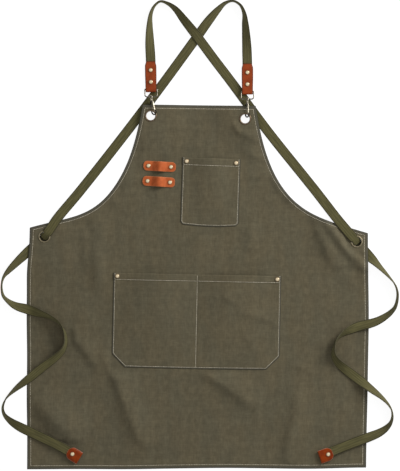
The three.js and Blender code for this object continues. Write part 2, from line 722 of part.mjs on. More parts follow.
function addRivet(parent, name, x, y, back, front) {
  addPiece(parent, name, rivetPiece(back, front), brassFinish).position.set(x, y, 0);
}

for (const pocket of pockets) {
  const mouth = [-1, 1].map((side) => {
    const p = side * (pocket.width / 2 - pocket.rivetIn);
    const place = pocketPlace(pocket, p, pocket.height - pocket.rivetDown);
    return { x: place.x, y: place.y, radius: rivetHole, sides: holeSides };
  });
  panelHoles.push(...mouth);
  addPiece(apron, pocket.name, pocketPiece(pocket, mouth), canvasFinish);
  mouth.forEach((hole, i) => {
    const name = `rivet_${pocket.name}_${["left", "right"][i]}`;
    addRivet(apron, name, hole.x, hole.y, rivetBack, overPanel + 2 * canvas + gap);
  });
}

// Pen loops
for (const loop of penLoops) {
  const place = laid(loop.u, loop.v);
  const group = new THREE.Group();
  group.position.set(place.x, place.y, 0);
  group.rotation.z = radians(loop.turn - 90);
  apron.add(group);
  addPiece(group, loop.name, penLoopPiece(), loopFinish);
  for (const [i, side] of ["left", "right"].entries()) {
    const y = (i - 0.5) * penLoop.rivetSpacing;
    addRivet(group, `rivet_${loop.name}_${side}`, 0, y, rivetBack, overPanel + leather + gap);
    const spot = group.localToWorld(new THREE.Vector3(0, y, 0));
    panelHoles.push({ x: spot.x, y: spot.y, radius: rivetHole, sides: holeSides });
  }
}

addPiece(apron, "apron_body", apronBody(panelHoles), canvasFinish);
for (const { name, x, y, level } of eyelets) {
  addPiece(apron, name, eyeletPiece(level), brassFinish).position.set(x, y, 0);
}

// Tabs with their rings, rivets and snap hooks
const strapHoles = { left: [], right: [] };
const tabRivetBack = tab.bottom - gap - rivetSize.washerThick;
for (const { side, x, y, turn, hookYaw, hookRoll } of tabs) {
  const group = new THREE.Group();
  group.position.set(x, y, 0);
  group.rotation.z = radians(turn);
  apron.add(group);
  group.updateMatrixWorld(true);
  addPiece(group, `tab_${side}`, tabPiece(), tabFinish);
  tab.rivets.forEach((along, i) => {
    addRivet(group, `rivet_tab_${side}_${i + 1}`, 0, along, tabRivetBack, tabFront + leather / 2 + gap);
    const spot = group.localToWorld(new THREE.Vector3(0, along, 0));
    strapHoles[side].push({ x: spot.x, y: spot.y, radius: rivetHole, sides: holeSides });
  });
  const eyeLevel = webbing.thick + gap + hook.wire + hook.bend * Math.cos(radians(hookRoll));
  const climb = eyeLevel - ringLevel;
  const ringMesh = addPiece(group, `ring_${side}`, ringPiece(Math.hypot(ring.reach, climb)), steelFinish);
  ringMesh.position.set(0, tab.ringAt, ringLevel);
  ringMesh.rotation.x = -Math.atan2(climb, ring.reach);
  const hookGroup = new THREE.Group();
  hookGroup.position.set(0, tab.ringAt - ring.reach - hook.slack, eyeLevel);
  hookGroup.rotation.set(0, radians(hookRoll), radians(hookYaw), "ZYX");
  group.add(hookGroup);
  addPiece(hookGroup, `hook_${side}`, hookPiece(), steelFinish);
  addPiece(hookGroup, `gate_${side}`, gatePiece(), steelFinish);
}

// Strap tips and the straps
for (const { name, x, y, turn } of tips) {
  const group = new THREE.Group();
  group.position.set(x, y, 0);
  group.rotation.z = radians(turn);
  apron.add(group);
  group.updateMatrixWorld(true);
  addPiece(group, name, tipPiece(), tabFinish);
  const front = overPanel + tip.washerRoom + 2 * tip.foldRadius + leather + gap;
  addRivet(group, `rivet_${name}`, 0, tip.rivetAt, overPanel, front);
  const spot = group.localToWorld(new THREE.Vector3(0, tip.rivetAt, 0));
  const strapSide = name === "tip_right" ? "left" : "right";
  strapHoles[strapSide].push({ x: spot.x, y: spot.y, radius: rivetHole, sides: holeSides });
}
addPiece(apron, "strap_left", strapPiece(leftRoute, eyelets[3], strapHoles.left), webbingFinish);
addPiece(apron, "strap_right", strapPiece(rightRoute, eyelets[2], strapHoles.right), webbingFinish);

export default apron;
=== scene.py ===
import math

import bmesh
import bpy
import numpy as np
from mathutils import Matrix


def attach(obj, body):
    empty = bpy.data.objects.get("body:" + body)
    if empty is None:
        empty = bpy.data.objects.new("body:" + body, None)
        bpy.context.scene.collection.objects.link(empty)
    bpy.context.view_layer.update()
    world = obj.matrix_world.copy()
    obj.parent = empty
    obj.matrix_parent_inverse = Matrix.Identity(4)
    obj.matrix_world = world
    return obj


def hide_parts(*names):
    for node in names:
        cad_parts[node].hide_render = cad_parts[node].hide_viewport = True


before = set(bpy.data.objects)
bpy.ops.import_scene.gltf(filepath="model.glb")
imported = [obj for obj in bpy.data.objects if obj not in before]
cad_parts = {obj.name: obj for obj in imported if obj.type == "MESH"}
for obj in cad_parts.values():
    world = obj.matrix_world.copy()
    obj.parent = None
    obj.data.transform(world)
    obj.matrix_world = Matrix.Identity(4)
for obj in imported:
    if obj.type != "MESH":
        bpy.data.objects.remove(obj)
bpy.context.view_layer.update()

mm = 0.001
mainBody = "apron"  # everything but the two hook gates rides on it
clearance = 0.3  # between pieces that lie on each other, in millimetres
print("frame loaded:", len(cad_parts), "nodes")

# camera: straight above, framed so that the picture is frameTall metres high on the floor
cameraSetup = dict(height=10.0, x=0.00072, y=-0.00155, frameTall=0.9726, sensor=36.0)


def setCamera(setup):
    data = bpy.data.cameras.new("topCamera")
    data.sensor_width = setup["sensor"]
    data.lens = setup["sensor"] * setup["height"] / setup["frameTall"]
    data.dof.use_dof = False
    camera = bpy.data.objects.new("topCamera", data)
    camera.location = (setup["x"], setup["y"], setup["height"])
    bpy.context.scene.collection.objects.link(camera)
    bpy.context.scene.camera = camera


setCamera(cameraSetup)
print("camera set")


# small maths used by several pieces
def ease(t):
    # 3t^2 - 2t^3 between 0 and 1, flat outside
    t = np.clip(t, 0, 1)
    return t * t * (3 - 2 * t)


def bell(distance, reach):
    # e to the minus square of the distance over the reach
    return np.exp(-((distance / reach) ** 2))


def squared(wave, power):
    # a cosine or sine raised to a power with its sign kept, which squares off a round section
    return np.sign(wave) * np.abs(wave) ** power


def circle(sides):
    # cosines and sines of evenly spaced angles, once round
    turn = np.arange(sides) * math.tau / sides
    return np.cos(turn), np.sin(turn)


def evened(values, span):
    # the mean over that many neighbours, the end values held
    return np.convolve(np.pad(values, span // 2, "edge"), np.full(span, 1 / span), "valid")


def softNoise(x, y, cell, seed, lattice=64):
    # random heights from -1 to 1 on a square lattice of that cell, blended with the eased step
    heights = np.random.default_rng(seed).uniform(-1, 1, (lattice, lattice))
    gx, gy = x / cell, y / cell
    ix, iy = np.floor(gx).astype(int), np.floor(gy).astype(int)
    tx, ty = ease(gx - ix), ease(gy - iy)
    left, right, below, above = (i % lattice for i in (ix, ix + 1, iy, iy + 1))
    low = heights[left, below] * (1 - tx) + heights[right, below] * tx
    high = heights[left, above] * (1 - tx) + heights[right, above] * tx
    return low * (1 - ty) + high * ty


def noiseSum(x, y, waves):
    # noises of several cells added up, each with its share
    return sum(share * softNoise(x, y, cell, seed) for share, cell, seed in waves)


def runAlong(points):
    # distance from the first point to each point, along the line
    return np.append(0, np.cumsum(np.linalg.norm(np.diff(points, axis=0), axis=1)))


def pointsAt(line, run, at):
    # the points of a line at those distances along it
    return np.stack([np.interp(at, run, column) for column in line.T], -1)


def unit(vectors):
    # each vector over its own length
    return vectors / np.linalg.norm(vectors, axis=1, keepdims=True)


def tangents(points):
    # unit direction at each point, from the neighbours on both sides
    return unit(np.gradient(points, axis=0))


def smoothLine(rows, stepsPerRow):
    # a curve through the rows: every span is a cubic whose end slopes are weighted by the root of the spacing
    ends = np.vstack([2 * rows[0] - rows[1], rows, 2 * rows[-1] - rows[-2]])
    a, b, c, d = ends[:-3], ends[1:-2], ends[2:-1], ends[3:]
    before, here, after = (
        np.sqrt(np.linalg.norm(q - p, axis=1, keepdims=True)) for p, q in ((a, b), (b, c), (c, d)))
    slopeIn = here * ((b - a) / before - (c - a) / (before + here) + (c - b) / here)
    slopeOut = here * ((c - b) / here - (d - b) / (here + after) + (d - c) / after)
    s = np.linspace(0, 1, stepsPerRow, endpoint=False)[None, :, None]
    b, c, slopeIn, slopeOut = (part[:, None, :] for part in (b, c, slopeIn, slopeOut))
    curve = (b + slopeIn * s + (3 * (c - b) - 2 * slopeIn - slopeOut) * s**2
             + (2 * (b - c) + slopeIn + slopeOut) * s**3)
    return np.vstack([curve.reshape(-1, 3), rows[-1:]])


def turnAbout(axis, angle):
    # the matrix of a turn about x, y or z
    i, j = dict(x=(1, 2), y=(2, 0), z=(0, 1))[axis]
    turn = np.eye(3)
    turn[i, i] = turn[j, j] = math.cos(angle)
    turn[j, i] = math.sin(angle)
    turn[i, j] = -turn[j, i]
    return turn


def turnedPlace(points, x, y, degrees):
    # turn about the vertical, then move
    return points @ turnAbout("z", math.radians(degrees)).T + np.array([x, y, 0])


def turnedSpot(along, x, y, degrees):
    # x and y of the point that far along the middle of a turned piece
    return turnedPlace(np.array([[0, along, 0]]), x, y, degrees)[0, :2]


# meshes
def ringSkin(rings, loop=False):
    # quads between each ring of points and the next, and a flat cap on both open ends
    count, sides = rings.shape[:2]
    index = np.arange(count * sides).reshape(count, sides)
    here = index if loop else index[:-1]
    ahead = np.roll(index, -1, 0) if loop else index[1:]
    quads = np.stack([here, ahead, np.roll(ahead, -1, 1), np.roll(here, -1, 1)], -1).reshape(-1, 4)
    caps = [] if loop else [index[0][::-1].tolist(), index[-1].tolist()]
    return rings.reshape(-1, 3), quads.tolist() + caps


def sheetSkin(top, under, keep=None):
    # an upper and an under grid joined into one closed skin, with a rim along each edge of only one quad
    rows, columns = top.shape[:2]
    index = np.arange(rows * columns).reshape(rows, columns)
    quads = np.stack([index[:-1, :-1], index[:-1, 1:], index[1:, 1:], index[1:, :-1]], -1)
    quads = quads.reshape(-1, 4) if keep is None else quads[keep]
    edges = np.concatenate([quads[:, [0, 1]], quads[:, [1, 2]], quads[:, [2, 3]], quads[:, [3, 0]]])
    first, count = np.unique(np.sort(edges, 1), axis=0, return_index=True, return_counts=True)[1:]
    rim = edges[first[count == 1]]
    layer = rows * columns
    sides = np.stack([rim[:, 1], rim[:, 0], rim[:, 0] + layer, rim[:, 1] + layer], -1)
    faces = np.concatenate([quads, quads[:, ::-1] + layer, sides])
    used, faces = np.unique(faces, return_inverse=True)
    points = np.concatenate([top.reshape(-1, 3), under.reshape(-1, 3)])
    return points[used], faces.reshape(-1, 4).tolist(), used


def joinSkins(skins):
    # several closed skins as one list of points and faces
    points, faces, start = [], [], 0
    for part, partFaces in skins:
        points.append(part)
        faces += [[corner + start for corner in face] for face in partFaces]
        start += len(part)
    return np.vstack(points), faces


def addPiece(name, skin, material, nodes=(), body=mainBody, uv=None, edge=None, shade=40):
    # points come in millimetres; uv and edge hold one entry a point
    points, faces = skin
    mesh = bpy.data.meshes.new(name)
    mesh.from_pydata((np.asarray(points) * mm).tolist(), [], faces)
    work = bmesh.new()
    work.from_mesh(mesh)
    bmesh.ops.recalc_face_normals(work, faces=work.faces)
    work.to_mesh(mesh)
    work.free()
    if uv is not None:
        corners = np.empty(len(mesh.loops), dtype=np.int32)
        mesh.loops.foreach_get("vertex_index", corners)
        mesh.uv_layers.new(name="along").data.foreach_set("uv", (uv[corners] * mm).ravel())
    if edge is not None:
        marks = mesh.attributes.new("edge", "FLOAT", "POINT")
        marks.data.foreach_set("value", np.asarray(edge, dtype=np.float32))
    mesh.polygons.foreach_set("use_smooth", np.ones(len(mesh.polygons), dtype=bool))
    mesh.set_sharp_from_angle(angle=math.radians(shade))
    mesh.materials.append(material)
    mesh.update()
    piece = bpy.data.objects.new(name, mesh)
    bpy.context.scene.collection.objects.link(piece)
    if nodes:
        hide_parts(*nodes)
    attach(piece, body)
    return piece


# materials
def newMaterial(name, roughness, metallic=0.0, sheen=0.0, specular=0.5):
    material = bpy.data.materials.new(name)
    material.use_nodes = True
    shader = material.node_tree.nodes["Principled BSDF"]
    shader.inputs["Roughness"].default_value = roughness
    shader.inputs["Metallic"].default_value = metallic
    shader.inputs["Sheen Weight"].default_value = sheen
    shader.inputs["Specular IOR Level"].default_value = specular
    return material, material.node_tree, shader


def addNode(tree, kind, settings=None, **values):
    made = tree.nodes.new(kind)
    for key, value in (settings or {}).items():
        setattr(made, key, value)
    for key, value in values.items():
        made.inputs[key].default_value = value
    return made


def noiseOn(tree, source, scale, detail=3.0, stretch=(1, 1, 1)):
    mapping = addNode(tree, "ShaderNodeMapping", Scale=stretch)
    noise = addNode(tree, "ShaderNodeTexNoise", Scale=scale, Detail=detail)
    tree.links.new(source, mapping.inputs["Vector"])
    tree.links.new(mapping.outputs["Vector"], noise.inputs["Vector"])
    return noise.outputs["Fac"]


def waveOn(tree, source, direction, pitch, distortion=0.0):
    # pitch is the distance between crests, in metres
    wave = addNode(tree, "ShaderNodeTexWave", dict(bands_direction=direction), Scale=math.tau / 20 / pitch,
                   Distortion=distortion)
    tree.links.new(source, wave.inputs["Vector"])
    return wave.outputs["Fac"]


def mathOn(tree, operation, a, b=0.0):
    made = addNode(tree, "ShaderNodeMath", dict(operation=operation))
    for socket, value in zip(made.inputs, (a, b)):
        if isinstance(value, (int, float)):
            socket.default_value = value
        else:
            tree.links.new(value, socket)
    return made.outputs[0]


def rangeOn(tree, source, low, high, toLow=0.0, toHigh=1.0):
    made = addNode(tree, "ShaderNodeMapRange", dict(interpolation_type="SMOOTHSTEP"))
    for key, value in (("From Min", low), ("From Max", high), ("To Min", toLow), ("To Max", toHigh)):
        made.inputs[key].default_value = value
    tree.links.new(source, made.inputs["Value"])
    return made.outputs["Result"]


def mixColour(tree, share, a, b, blend="MIX"):
    made = addNode(tree, "ShaderNodeMix", dict(data_type="RGBA", blend_type=blend))
    for socket, value in ((made.inputs[0], share), (made.inputs[6], a), (made.inputs[7], b)):
        if isinstance(value, (int, float)):
            socket.default_value = value
        elif isinstance(value, tuple):
            socket.default_value = (*value, 1.0)
        else:
            tree.links.new(value, socket)
    return made.outputs[2]


def bumpOn(tree, shader, height, strength, distance):
    bump = addNode(tree, "ShaderNodeBump", Strength=strength, Distance=distance)
    tree.links.new(height, bump.inputs["Height"])
    tree.links.new(bump.outputs["Normal"], shader.inputs["Normal"])


def placeOn(tree, kind="Object"):
    return addNode(tree, "ShaderNodeTexCoord").outputs[kind]


def edgeOn(tree):
    # millimetres from the piece's edge
    return addNode(tree, "ShaderNodeAttribute", dict(attribute_name="edge")).outputs["Fac"]


def rimOn(tree, tone, look):
    # a rim tone at the edge, gone within rimReach millimetres: the tabs' own dark edge, partly painted
    # highlight on the loops and tips, painted shade on the rivets and side eyelets
    share = rangeOn(tree, edgeOn(tree), 0.2, look["rimReach"], 0.9, 0.0)
    return mixColour(tree, share, tone, look["rim"])


# canvas: slubs both ways, long streaks down the cloth, soft patches, a plain weave, hems darker and greyer,
# and painted shade darkening the last 1.6 mm or so of every edge
canvasLook = dict(olive=(0.098, 0.086, 0.054), brown=(0.106, 0.089, 0.0535), hem=(0.076, 0.071, 0.053),
                  slub=0.22, streak=0.09, cross=0.08, mottle=0.14, rim=0.55, weavePitch=0.0011,
                  roughness=0.95)


def canvasMaterial(look):
    material, tree, shader = newMaterial("canvas", look["roughness"], sheen=0.04, specular=0.12)
    spot = placeOn(tree)
    patches = rangeOn(tree, noiseOn(tree, spot, 17.0, 5.0, (1.5, 0.75, 1)), 0.33, 0.67)
    tone = mixColour(tree, patches, look["olive"], look["brown"])
    downwards = mathOn(tree, "MULTIPLY", noiseOn(tree, spot, 1.0, 3.0, (360, 70, 1)), 0.55)
    sideways = mathOn(tree, "MULTIPLY", noiseOn(tree, spot, 1.0, 2.0, (80, 380, 1)), 0.45)
    slubs = mathOn(tree, "ADD", downwards, sideways)
    layers = dict(slub=slubs, streak=noiseOn(tree, spot, 1.0, 2.0, (75, 8, 1)),
                  cross=noiseOn(tree, spot, 1.0, 2.0, (10, 110, 1)),
                  mottle=noiseOn(tree, spot, 105.0, 3.0, (1.1, 0.8, 1)))
    for name, source in layers.items():  # each one darkens and lightens by half its depth
        shade = rangeOn(tree, source, 0.3, 0.7, 1 - look[name] / 2, 1 + look[name] / 2)
        tone = mixColour(tree, 1.0, tone, shade, "MULTIPLY")
    edge = edgeOn(tree)
    tone = mixColour(tree, rangeOn(tree, edge, 4.6, 6.0, 0.85, 0.0), tone, look["hem"])
    # painted shade: cloth within 0.5 to 1.6 mm of an edge is multiplied darker by the rim share
    tone = mixColour(tree, 1.0, tone, rangeOn(tree, edge, 0.5, 1.6, look["rim"], 1.0), "MULTIPLY")
    tree.links.new(tone, shader.inputs["Base Color"])
    warp, weft = (waveOn(tree, spot, way, look["weavePitch"], 1.2) for way in ("X", "Y"))
    weave = mathOn(tree, "MAXIMUM", warp, weft)
    bumpOn(tree, shader, mathOn(tree, "ADD", weave, slubs), 0.35, 0.0003)
    return material


# webbing: fine cross ribs in lengthwise cords, darker along both edges of each face
webbingLook = dict(light=(0.118, 0.106, 0.044), dark=(0.066, 0.060, 0.026), selvedge=(0.020, 0.018, 0.010),
                   rim=(0.10, 0.091, 0.05), stripe=0.0052, cord=0.0017, rib=0.0012, roughness=0.9)


def webbingMaterial(look):
    material, tree, shader = newMaterial("webbing", look["roughness"], sheen=0.03, specular=0.12)
    along = placeOn(tree, "UV")
    stripes = waveOn(tree, along, "X", look["stripe"])
    cords = waveOn(tree, along, "X", look["cord"])
    ribs = waveOn(tree, along, "Y", look["rib"], 0.6)
    slubs = noiseOn(tree, along, 1.0, 3.0, (500, 35, 1))
    lightness = mathOn(tree, "ADD", slubs, mathOn(tree, "MULTIPLY", stripes, 0.16))
    tone = mixColour(tree, rangeOn(tree, lightness, 0.3, 0.9), look["dark"], look["light"])
    edge = edgeOn(tree)
    tone = mixColour(tree, rangeOn(tree, edge, 0.6, 2.8, 0.9, 0.0), tone, look["selvedge"])
    tone = mixColour(tree, rangeOn(tree, edge, 0.2, 0.5, 1.0, 0.0), tone, look["rim"])
    tree.links.new(tone, shader.inputs["Base Color"])
    bumpOn(tree, shader, mathOn(tree, "MULTIPLY", cords, ribs), 0.5, 0.0004)
    return material


# vegetable-tanned leather: pores, cloudy dye, a pressed line beside the edges, and a rim tone: the tabs' own
# darker burnished edge, a paler edge on the loops and tips that is partly painted highlight
leatherLooks = dict(
    tab=dict(light=(0.265, 0.043, 0.006), dark=(0.19, 0.029, 0.004), rim=(0.07, 0.015, 0.004), rimReach=2.6,
             gloss=0.18, rough=(0.52, 0.68)),
    # the loop's rim is a paler border: partly the burnished edge's own tone, partly painted highlight
    loop=dict(light=(0.47, 0.108, 0.028), dark=(0.36, 0.075, 0.017), rim=(0.46, 0.16, 0.066), rimReach=1.5,
              gloss=0.18, rough=(0.52, 0.68)),
    # the tip's rim is a pale raw edge that stands in for the highlight along it: partly its own tone, mostly
    # painted highlight
    tip=dict(light=(0.25, 0.036, 0.001), dark=(0.165, 0.021, 0.001), rim=(0.44, 0.20, 0.13), rimReach=0.7,
             gloss=0.14, rough=(0.26, 0.36)),
)


def leatherMaterial(name, look):
    material, tree, shader = newMaterial(name, 0.6, specular=look["gloss"])
    spot = placeOn(tree)
    clouds = rangeOn(tree, noiseOn(tree, spot, 90.0, 4.0), 0.3, 0.7)
    tone = rimOn(tree, mixColour(tree, clouds, look["dark"], look["light"]), look)
    tree.links.new(tone, shader.inputs["Base Color"])
    pores = addNode(tree, "ShaderNodeTexVoronoi", Scale=1100.0)
    tree.links.new(spot, pores.inputs["Vector"])
    edge = edgeOn(tree)
    pressedLine = mathOn(tree, "MULTIPLY", rangeOn(tree, edge, 1.5, 1.9), rangeOn(tree, edge, 2.3, 1.9))
    bumpOn(tree, shader, mathOn(tree, "SUBTRACT", pores.outputs["Distance"], pressedLine), 0.35, 0.0003)
    wear = rangeOn(tree, noiseOn(tree, spot, 300.0, 2.0), 0.3, 0.7, *look["rough"])
    tree.links.new(wear, shader.inputs["Roughness"])
    return material


# metals: a base tone, tarnish in soft patches, fine handling marks
metalLooks = dict(
    # the rim below is painted shade, darkening each rivet cap towards its edge
    paleBrass=dict(bright=(0.88, 0.76, 0.53), dull=(0.75, 0.60, 0.37), rough=(0.26, 0.40), metallic=0.45,
                   rim=(0.22, 0.12, 0.045), rimReach=2.3),
    oldBrass=dict(bright=(0.20, 0.145, 0.095), dull=(0.09, 0.064, 0.042), rough=(0.35, 0.55)),
    # the rim below is painted shade inside the side eyelets' holes, where the barrel lies in shadow
    sideBrass=dict(bright=(0.31, 0.265, 0.175), dull=(0.18, 0.15, 0.09), rough=(0.45, 0.60),
                   rim=(0.02, 0.016, 0.009), rimReach=1.2),
    ringSteel=dict(bright=(0.23, 0.21, 0.17), dull=(0.12, 0.107, 0.085), rough=(0.22, 0.36)),
    # the next two rows are one steel: a dark copy painted with shade for the hook body, a bright copy painted
    # with light for the gate and swivel
    hookSteel=dict(bright=(0.055, 0.047, 0.036), dull=(0.02, 0.017, 0.013), rough=(0.25, 0.42)),
    gateSteel=dict(bright=(0.46, 0.42, 0.33), dull=(0.31, 0.275, 0.21), rough=(0.40, 0.54)),
)


def metalMaterial(name, look):
    material, tree, shader = newMaterial(name, 0.3, metallic=look.get("metallic", 1.0))
    spot = placeOn(tree)
    tarnish = noiseOn(tree, spot, 260.0, 4.0)
    tone = mixColour(tree, rangeOn(tree, tarnish, 0.35, 0.75), look["bright"], look["dull"])
    if "rim" in look:
        tone = rimOn(tree, tone, look)
    tree.links.new(tone, shader.inputs["Base Color"])
    tree.links.new(rangeOn(tree, tarnish, 0.3, 0.7, *look["rough"]), shader.inputs["Roughness"])
    bumpOn(tree, shader, noiseOn(tree, spot, 2500.0, 2.0), 0.08, 0.0002)
    return material


# sewing thread: pale grey, twisted
threadLook = dict(light=(0.51, 0.465, 0.36), dark=(0.32, 0.285, 0.21))


def threadMaterial(look):
    material, tree, shader = newMaterial("thread", 0.7, sheen=0.1, specular=0.3)
    spot = placeOn(tree)
    fibres = rangeOn(tree, noiseOn(tree, spot, 120.0, 3.0), 0.3, 0.7)
    tree.links.new(mixColour(tree, fibres, look["dark"], look["light"]), shader.inputs["Base Color"])
    bumpOn(tree, shader, noiseOn(tree, spot, 3000.0, 2.0), 0.3, 0.0002)
    return material


canvas = canvasMaterial(canvasLook)
webbing = webbingMaterial(webbingLook)
leather = {name: leatherMaterial(name + "Leather", look) for name, look in leatherLooks.items()}
metal = {name: metalMaterial(name, look) for name, look in metalLooks.items()}
thread = threadMaterial(threadLook)
print("materials made")

# levels that pieces lie on, in millimetres above the floor
clothThick, clothTopLevel = 1.2, 2.4
overPanel = clothTopLevel + clearance
sideProp, bibProp = 3.4, 6.2
eyeletLip = 0.9
overRim = sideProp + clothTopLevel + 2 * clearance + eyeletLip
tabBottom, leatherThick = 1.95, 1.8
inTab = tabBottom + leatherThick + clearance
tipRoom = 1.1
inTip = overPanel + tipRoom + leatherThick + clearance
washerThick = 0.8
rivetBack = clothTopLevel - clothThick - clearance - washerThick

# webbing straps: each row is x, y, the height of what it lies on, and the bank in degrees
# darkBelow, darkReach and darkEdge place the painted shade on the strap down inside its eyelet
strapShape = dict(width=20.0, thick=1.6, cup=2.0, squareness=12, stepsPerRow=14, rollSpan=11, restSpan=23,
                  hole=9.2, holeGap=0.1, dipAt=5.5, dipReach=4.6, darkBelow=1.9, darkReach=16.0,
                  darkEdge=0.7, floorGap=0.03, markEvery=7)
strapSection = np.array([-1, -0.97, -0.9, -0.75, -0.45, -0.15, 0.15, 0.45, 0.75, 0.9, 0.97, 1])
strapRoutes = dict(
    left=[
        (-100.6, 312, inTab, 0), (-101, 357, inTab, 0), (-101.6, 372, 2.9, -3), (-103, 398, 0.5, -22),
        (-103, 431, 0, -52), (-100, 456, 0, -71), (-92, 473, 0, -81), (-81, 481, 0, -84),
        (-67, 477, 0, -75), (-51, 466, 0.5, -56), (-32, 443, 2, -32), (-5, 409, 2.2, -6), (30, 362, 0.4, 0),
        (62, 320, 0, 0), (142, 212, 0, 0), (238, 92, 0.5, 0), (286, 30, 6.3, 0), (309, 3, overRim + 0.2, 0),
        (319.48, -9.02, overRim, 0), (328.68, -19.22, 0.1, 0), (337, -29, 0, 0), (347, -40.5, 0, 4),
        (355, -49.5, 0, 17), (363.5, -58, 0, 43), (373, -67.5, 0, 58), (382, -76.5, 0, 67),
        (391, -86.5, 0, 77), (399.5, -97.5, 0, 88), (406, -109, 0, 94), (408.8, -122, 0, 98),
        (407.8, -136, 0, 102), (403.5, -150, 0, 108), (394, -161, 0.2, 120), (380, -171, 0.8, 133),
        (364.5, -179, 1.6, 147), (347, -184.5, overPanel, 160), (329, -189, overPanel, 180),
        (314, -194.5, overPanel, 203), (300, -201, overPanel, 233), (289, -209, overPanel, 250),
        (281.5, -219, overPanel, 262), (277.5, -230, overPanel, 272), (275, -241, overPanel, 290),
        (277.5, -253, overPanel, 305), (285.5, -264.5, overPanel, 322), (297, -275, overPanel, 340),
        (311, -286, overPanel, 354), (327, -298, overPanel, 366), (345, -311.5, 2, 394),
        (358, -321.5, 1, 405), (372.5, -332.5, 0.3, 422), (382.5, -341.5, 0, 432), (390.5, -351, 0, 440),
        (396.3, -363, 0, 450), (398, -376, 0, 458), (394.5, -388.5, 0, 468), (385.5, -399, 0.3, 485),
        (371, -408.5, 1.4, 504), (352, -416.5, overPanel, 520), (316, -430, overPanel + 1.4, 540),
        (277, -445.5, inTip, 540), (251.5, -456.2, inTip, 540),
    ],
    right=[
        (98.6, 307, inTab, 0), (98.4, 353, inTab, 0), (98, 368, 2.9, 3), (97, 394, 0.5, 19),
        (94, 435, 0, 48), (91, 458, 0, 70), (83, 474, 0, 80), (69, 482, 0, 84), (54, 478, 0, 74),
        (38, 464, 0, 52), (19, 442, 0, 22), (-5, 409, 0, 0), (-72, 317, 0, 0), (-151, 212, 0, 0),
        (-247, 90, 0.5, 0), (-295, 32, 6.3, 0), (-307.5, 13, overRim + 0.2, 0), (-315.7, 2, overRim, 0),
        (-325.2, -8.8, 0.1, 0), (-334, -17, 0, 0), (-348, -29, 0, 0), (-363, -43, 0, 20),
        (-379, -58.5, 0, 39), (-394.5, -75, 0, 58), (-403.5, -87, 0, 78), (-408, -100, 0, 88),
        (-408, -113, 0, 84), (-404.5, -126, 0, 76), (-395.5, -136, 0.4, 66), (-380, -146.5, 1, 41),
        (-357, -153.5, overPanel, 4), (-341.5, -158.5, overPanel, -18), (-328, -163, overPanel, -42),
        (-312, -169, overPanel, -59), (-297.5, -177, overPanel, -70), (-288.5, -184.5, overPanel, -80),
        (-283, -192, overPanel, -91), (-279, -201, overPanel, -101), (-277, -210, overPanel, -106),
        (-276.5, -221, overPanel, -109), (-279, -232, overPanel, -115), (-286, -243, overPanel, -128),
        (-297.5, -253.5, overPanel, -139), (-312, -264.5, overPanel, -150), (-334, -281.5, overPanel, -162),
        (-354, -298, overPanel, -148), (-368, -308.5, 1.2, -133), (-382, -319.5, 0, -117),
        (-394, -331, 0, -99), (-401, -341, 0, -88), (-406, -352.5, 0, -79), (-406.5, -362, 0, -74),
        (-402.5, -372.5, 0, -66), (-389.5, -385, 0.6, -44), (-372, -396, 1.6, -17),
        (-354, -405, overPanel, -5), (-284, -439, inTip, 0), (-252.5, -458, inTip, 0),
    ],
)
eyeletPlaces = dict(bibLeft=(-100.9, 245.6), bibRight=(94.0, 239.2), sideLeft=(-320.6, -3.8),
                    sideRight=(324.1, -14.1))


def strapSkin(route, eyelet, shape):
    # a flat oval section carried along the route, banked by its roll, its lower edge resting on its lift;
    # it cups as a parabola where it stands on edge, and in the eyelet it is a chord of the hole wide
    rows = np.array(route, dtype=float)
    steps = shape["stepsPerRow"]
    line = smoothLine(rows[:, :3], steps)
    roll = np.interp(np.arange(len(line)) / steps, np.arange(len(rows)), np.radians(rows[:, 3]))
    roll = evened(roll, shape["rollSpan"])
    fromHole = np.hypot(line[:, 0] - eyelet[0], line[:, 1] - eyelet[1])
    chord = 2 * np.sqrt(shape["hole"] ** 2 - np.minimum(fromHole, shape["dipAt"]) ** 2) - shape["holeGap"]
    width = chord + (shape["width"] - chord) * ease((fromHole - shape["dipAt"]) / shape["dipReach"])
    depth = width * np.abs(np.sin(roll)) + shape["thick"] * np.abs(np.cos(roll))
    depth = np.maximum(depth, evened(depth, shape["restSpan"]))  # no kink where the bank passes through flat
    line[:, 2] = np.maximum(line[:, 2], 0) + depth / 2
    ahead = tangents(line)
    side = unit(np.stack([ahead[:, 1], -ahead[:, 0], np.zeros(len(ahead))], -1))
    up = np.cross(side, ahead)
    across = side * np.cos(roll)[:, None] + up * np.sin(roll)[:, None]
    normal = np.cross(across, ahead)
    a = np.append(strapSection, strapSection[-2:0:-1])
    upper = np.arange(len(a)) < len(strapSection)
    b = np.sqrt(1 - np.abs(a) ** shape["squareness"]) * np.where(upper, 1, -1)
    cup = shape["cup"] * np.sin(roll)[:, None] ** 4 * (0.5 - a**2)
    rings = (line[:, None] + across[:, None] * (a[None, :, None] * width[:, None, None] / 2)
             + normal[:, None] * (b * shape["thick"] / 2 + cup)[..., None])
    rings[..., 2] = np.maximum(rings[..., 2], shape["floorGap"])
    run = runAlong(line)
    uv = np.stack(np.broadcast_arrays(a[None, :] * shape["width"] / 2, run[:, None]), -1).reshape(-1, 2)
    paintedHoleShade = (line[:, 2] < shape["darkBelow"]) & (fromHole < shape["darkReach"])  # painted shade on the strap where it dips inside the eyelet hole
    edge = np.where(paintedHoleShade[:, None], shape["darkEdge"], (1 - np.abs(a)) * shape["width"] / 2).ravel()
    return ringSkin(rings), uv, edge, run[-1], line[:: shape["markEvery"], :2]


strapLines = []  # points along the middle of both straps
for side, eyelet in (("left", "sideRight"), ("right", "sideLeft")):
    skin, uv, edge, length, line = strapSkin(strapRoutes[side], eyeletPlaces[eyelet], strapShape)
    strap = addPiece("strap" + side.capitalize(), skin, webbing, ["strap_" + side], uv=uv,
                     edge=edge)
    strapLines.append(line)
    print("strap", side, "is", round(length), "mm long")

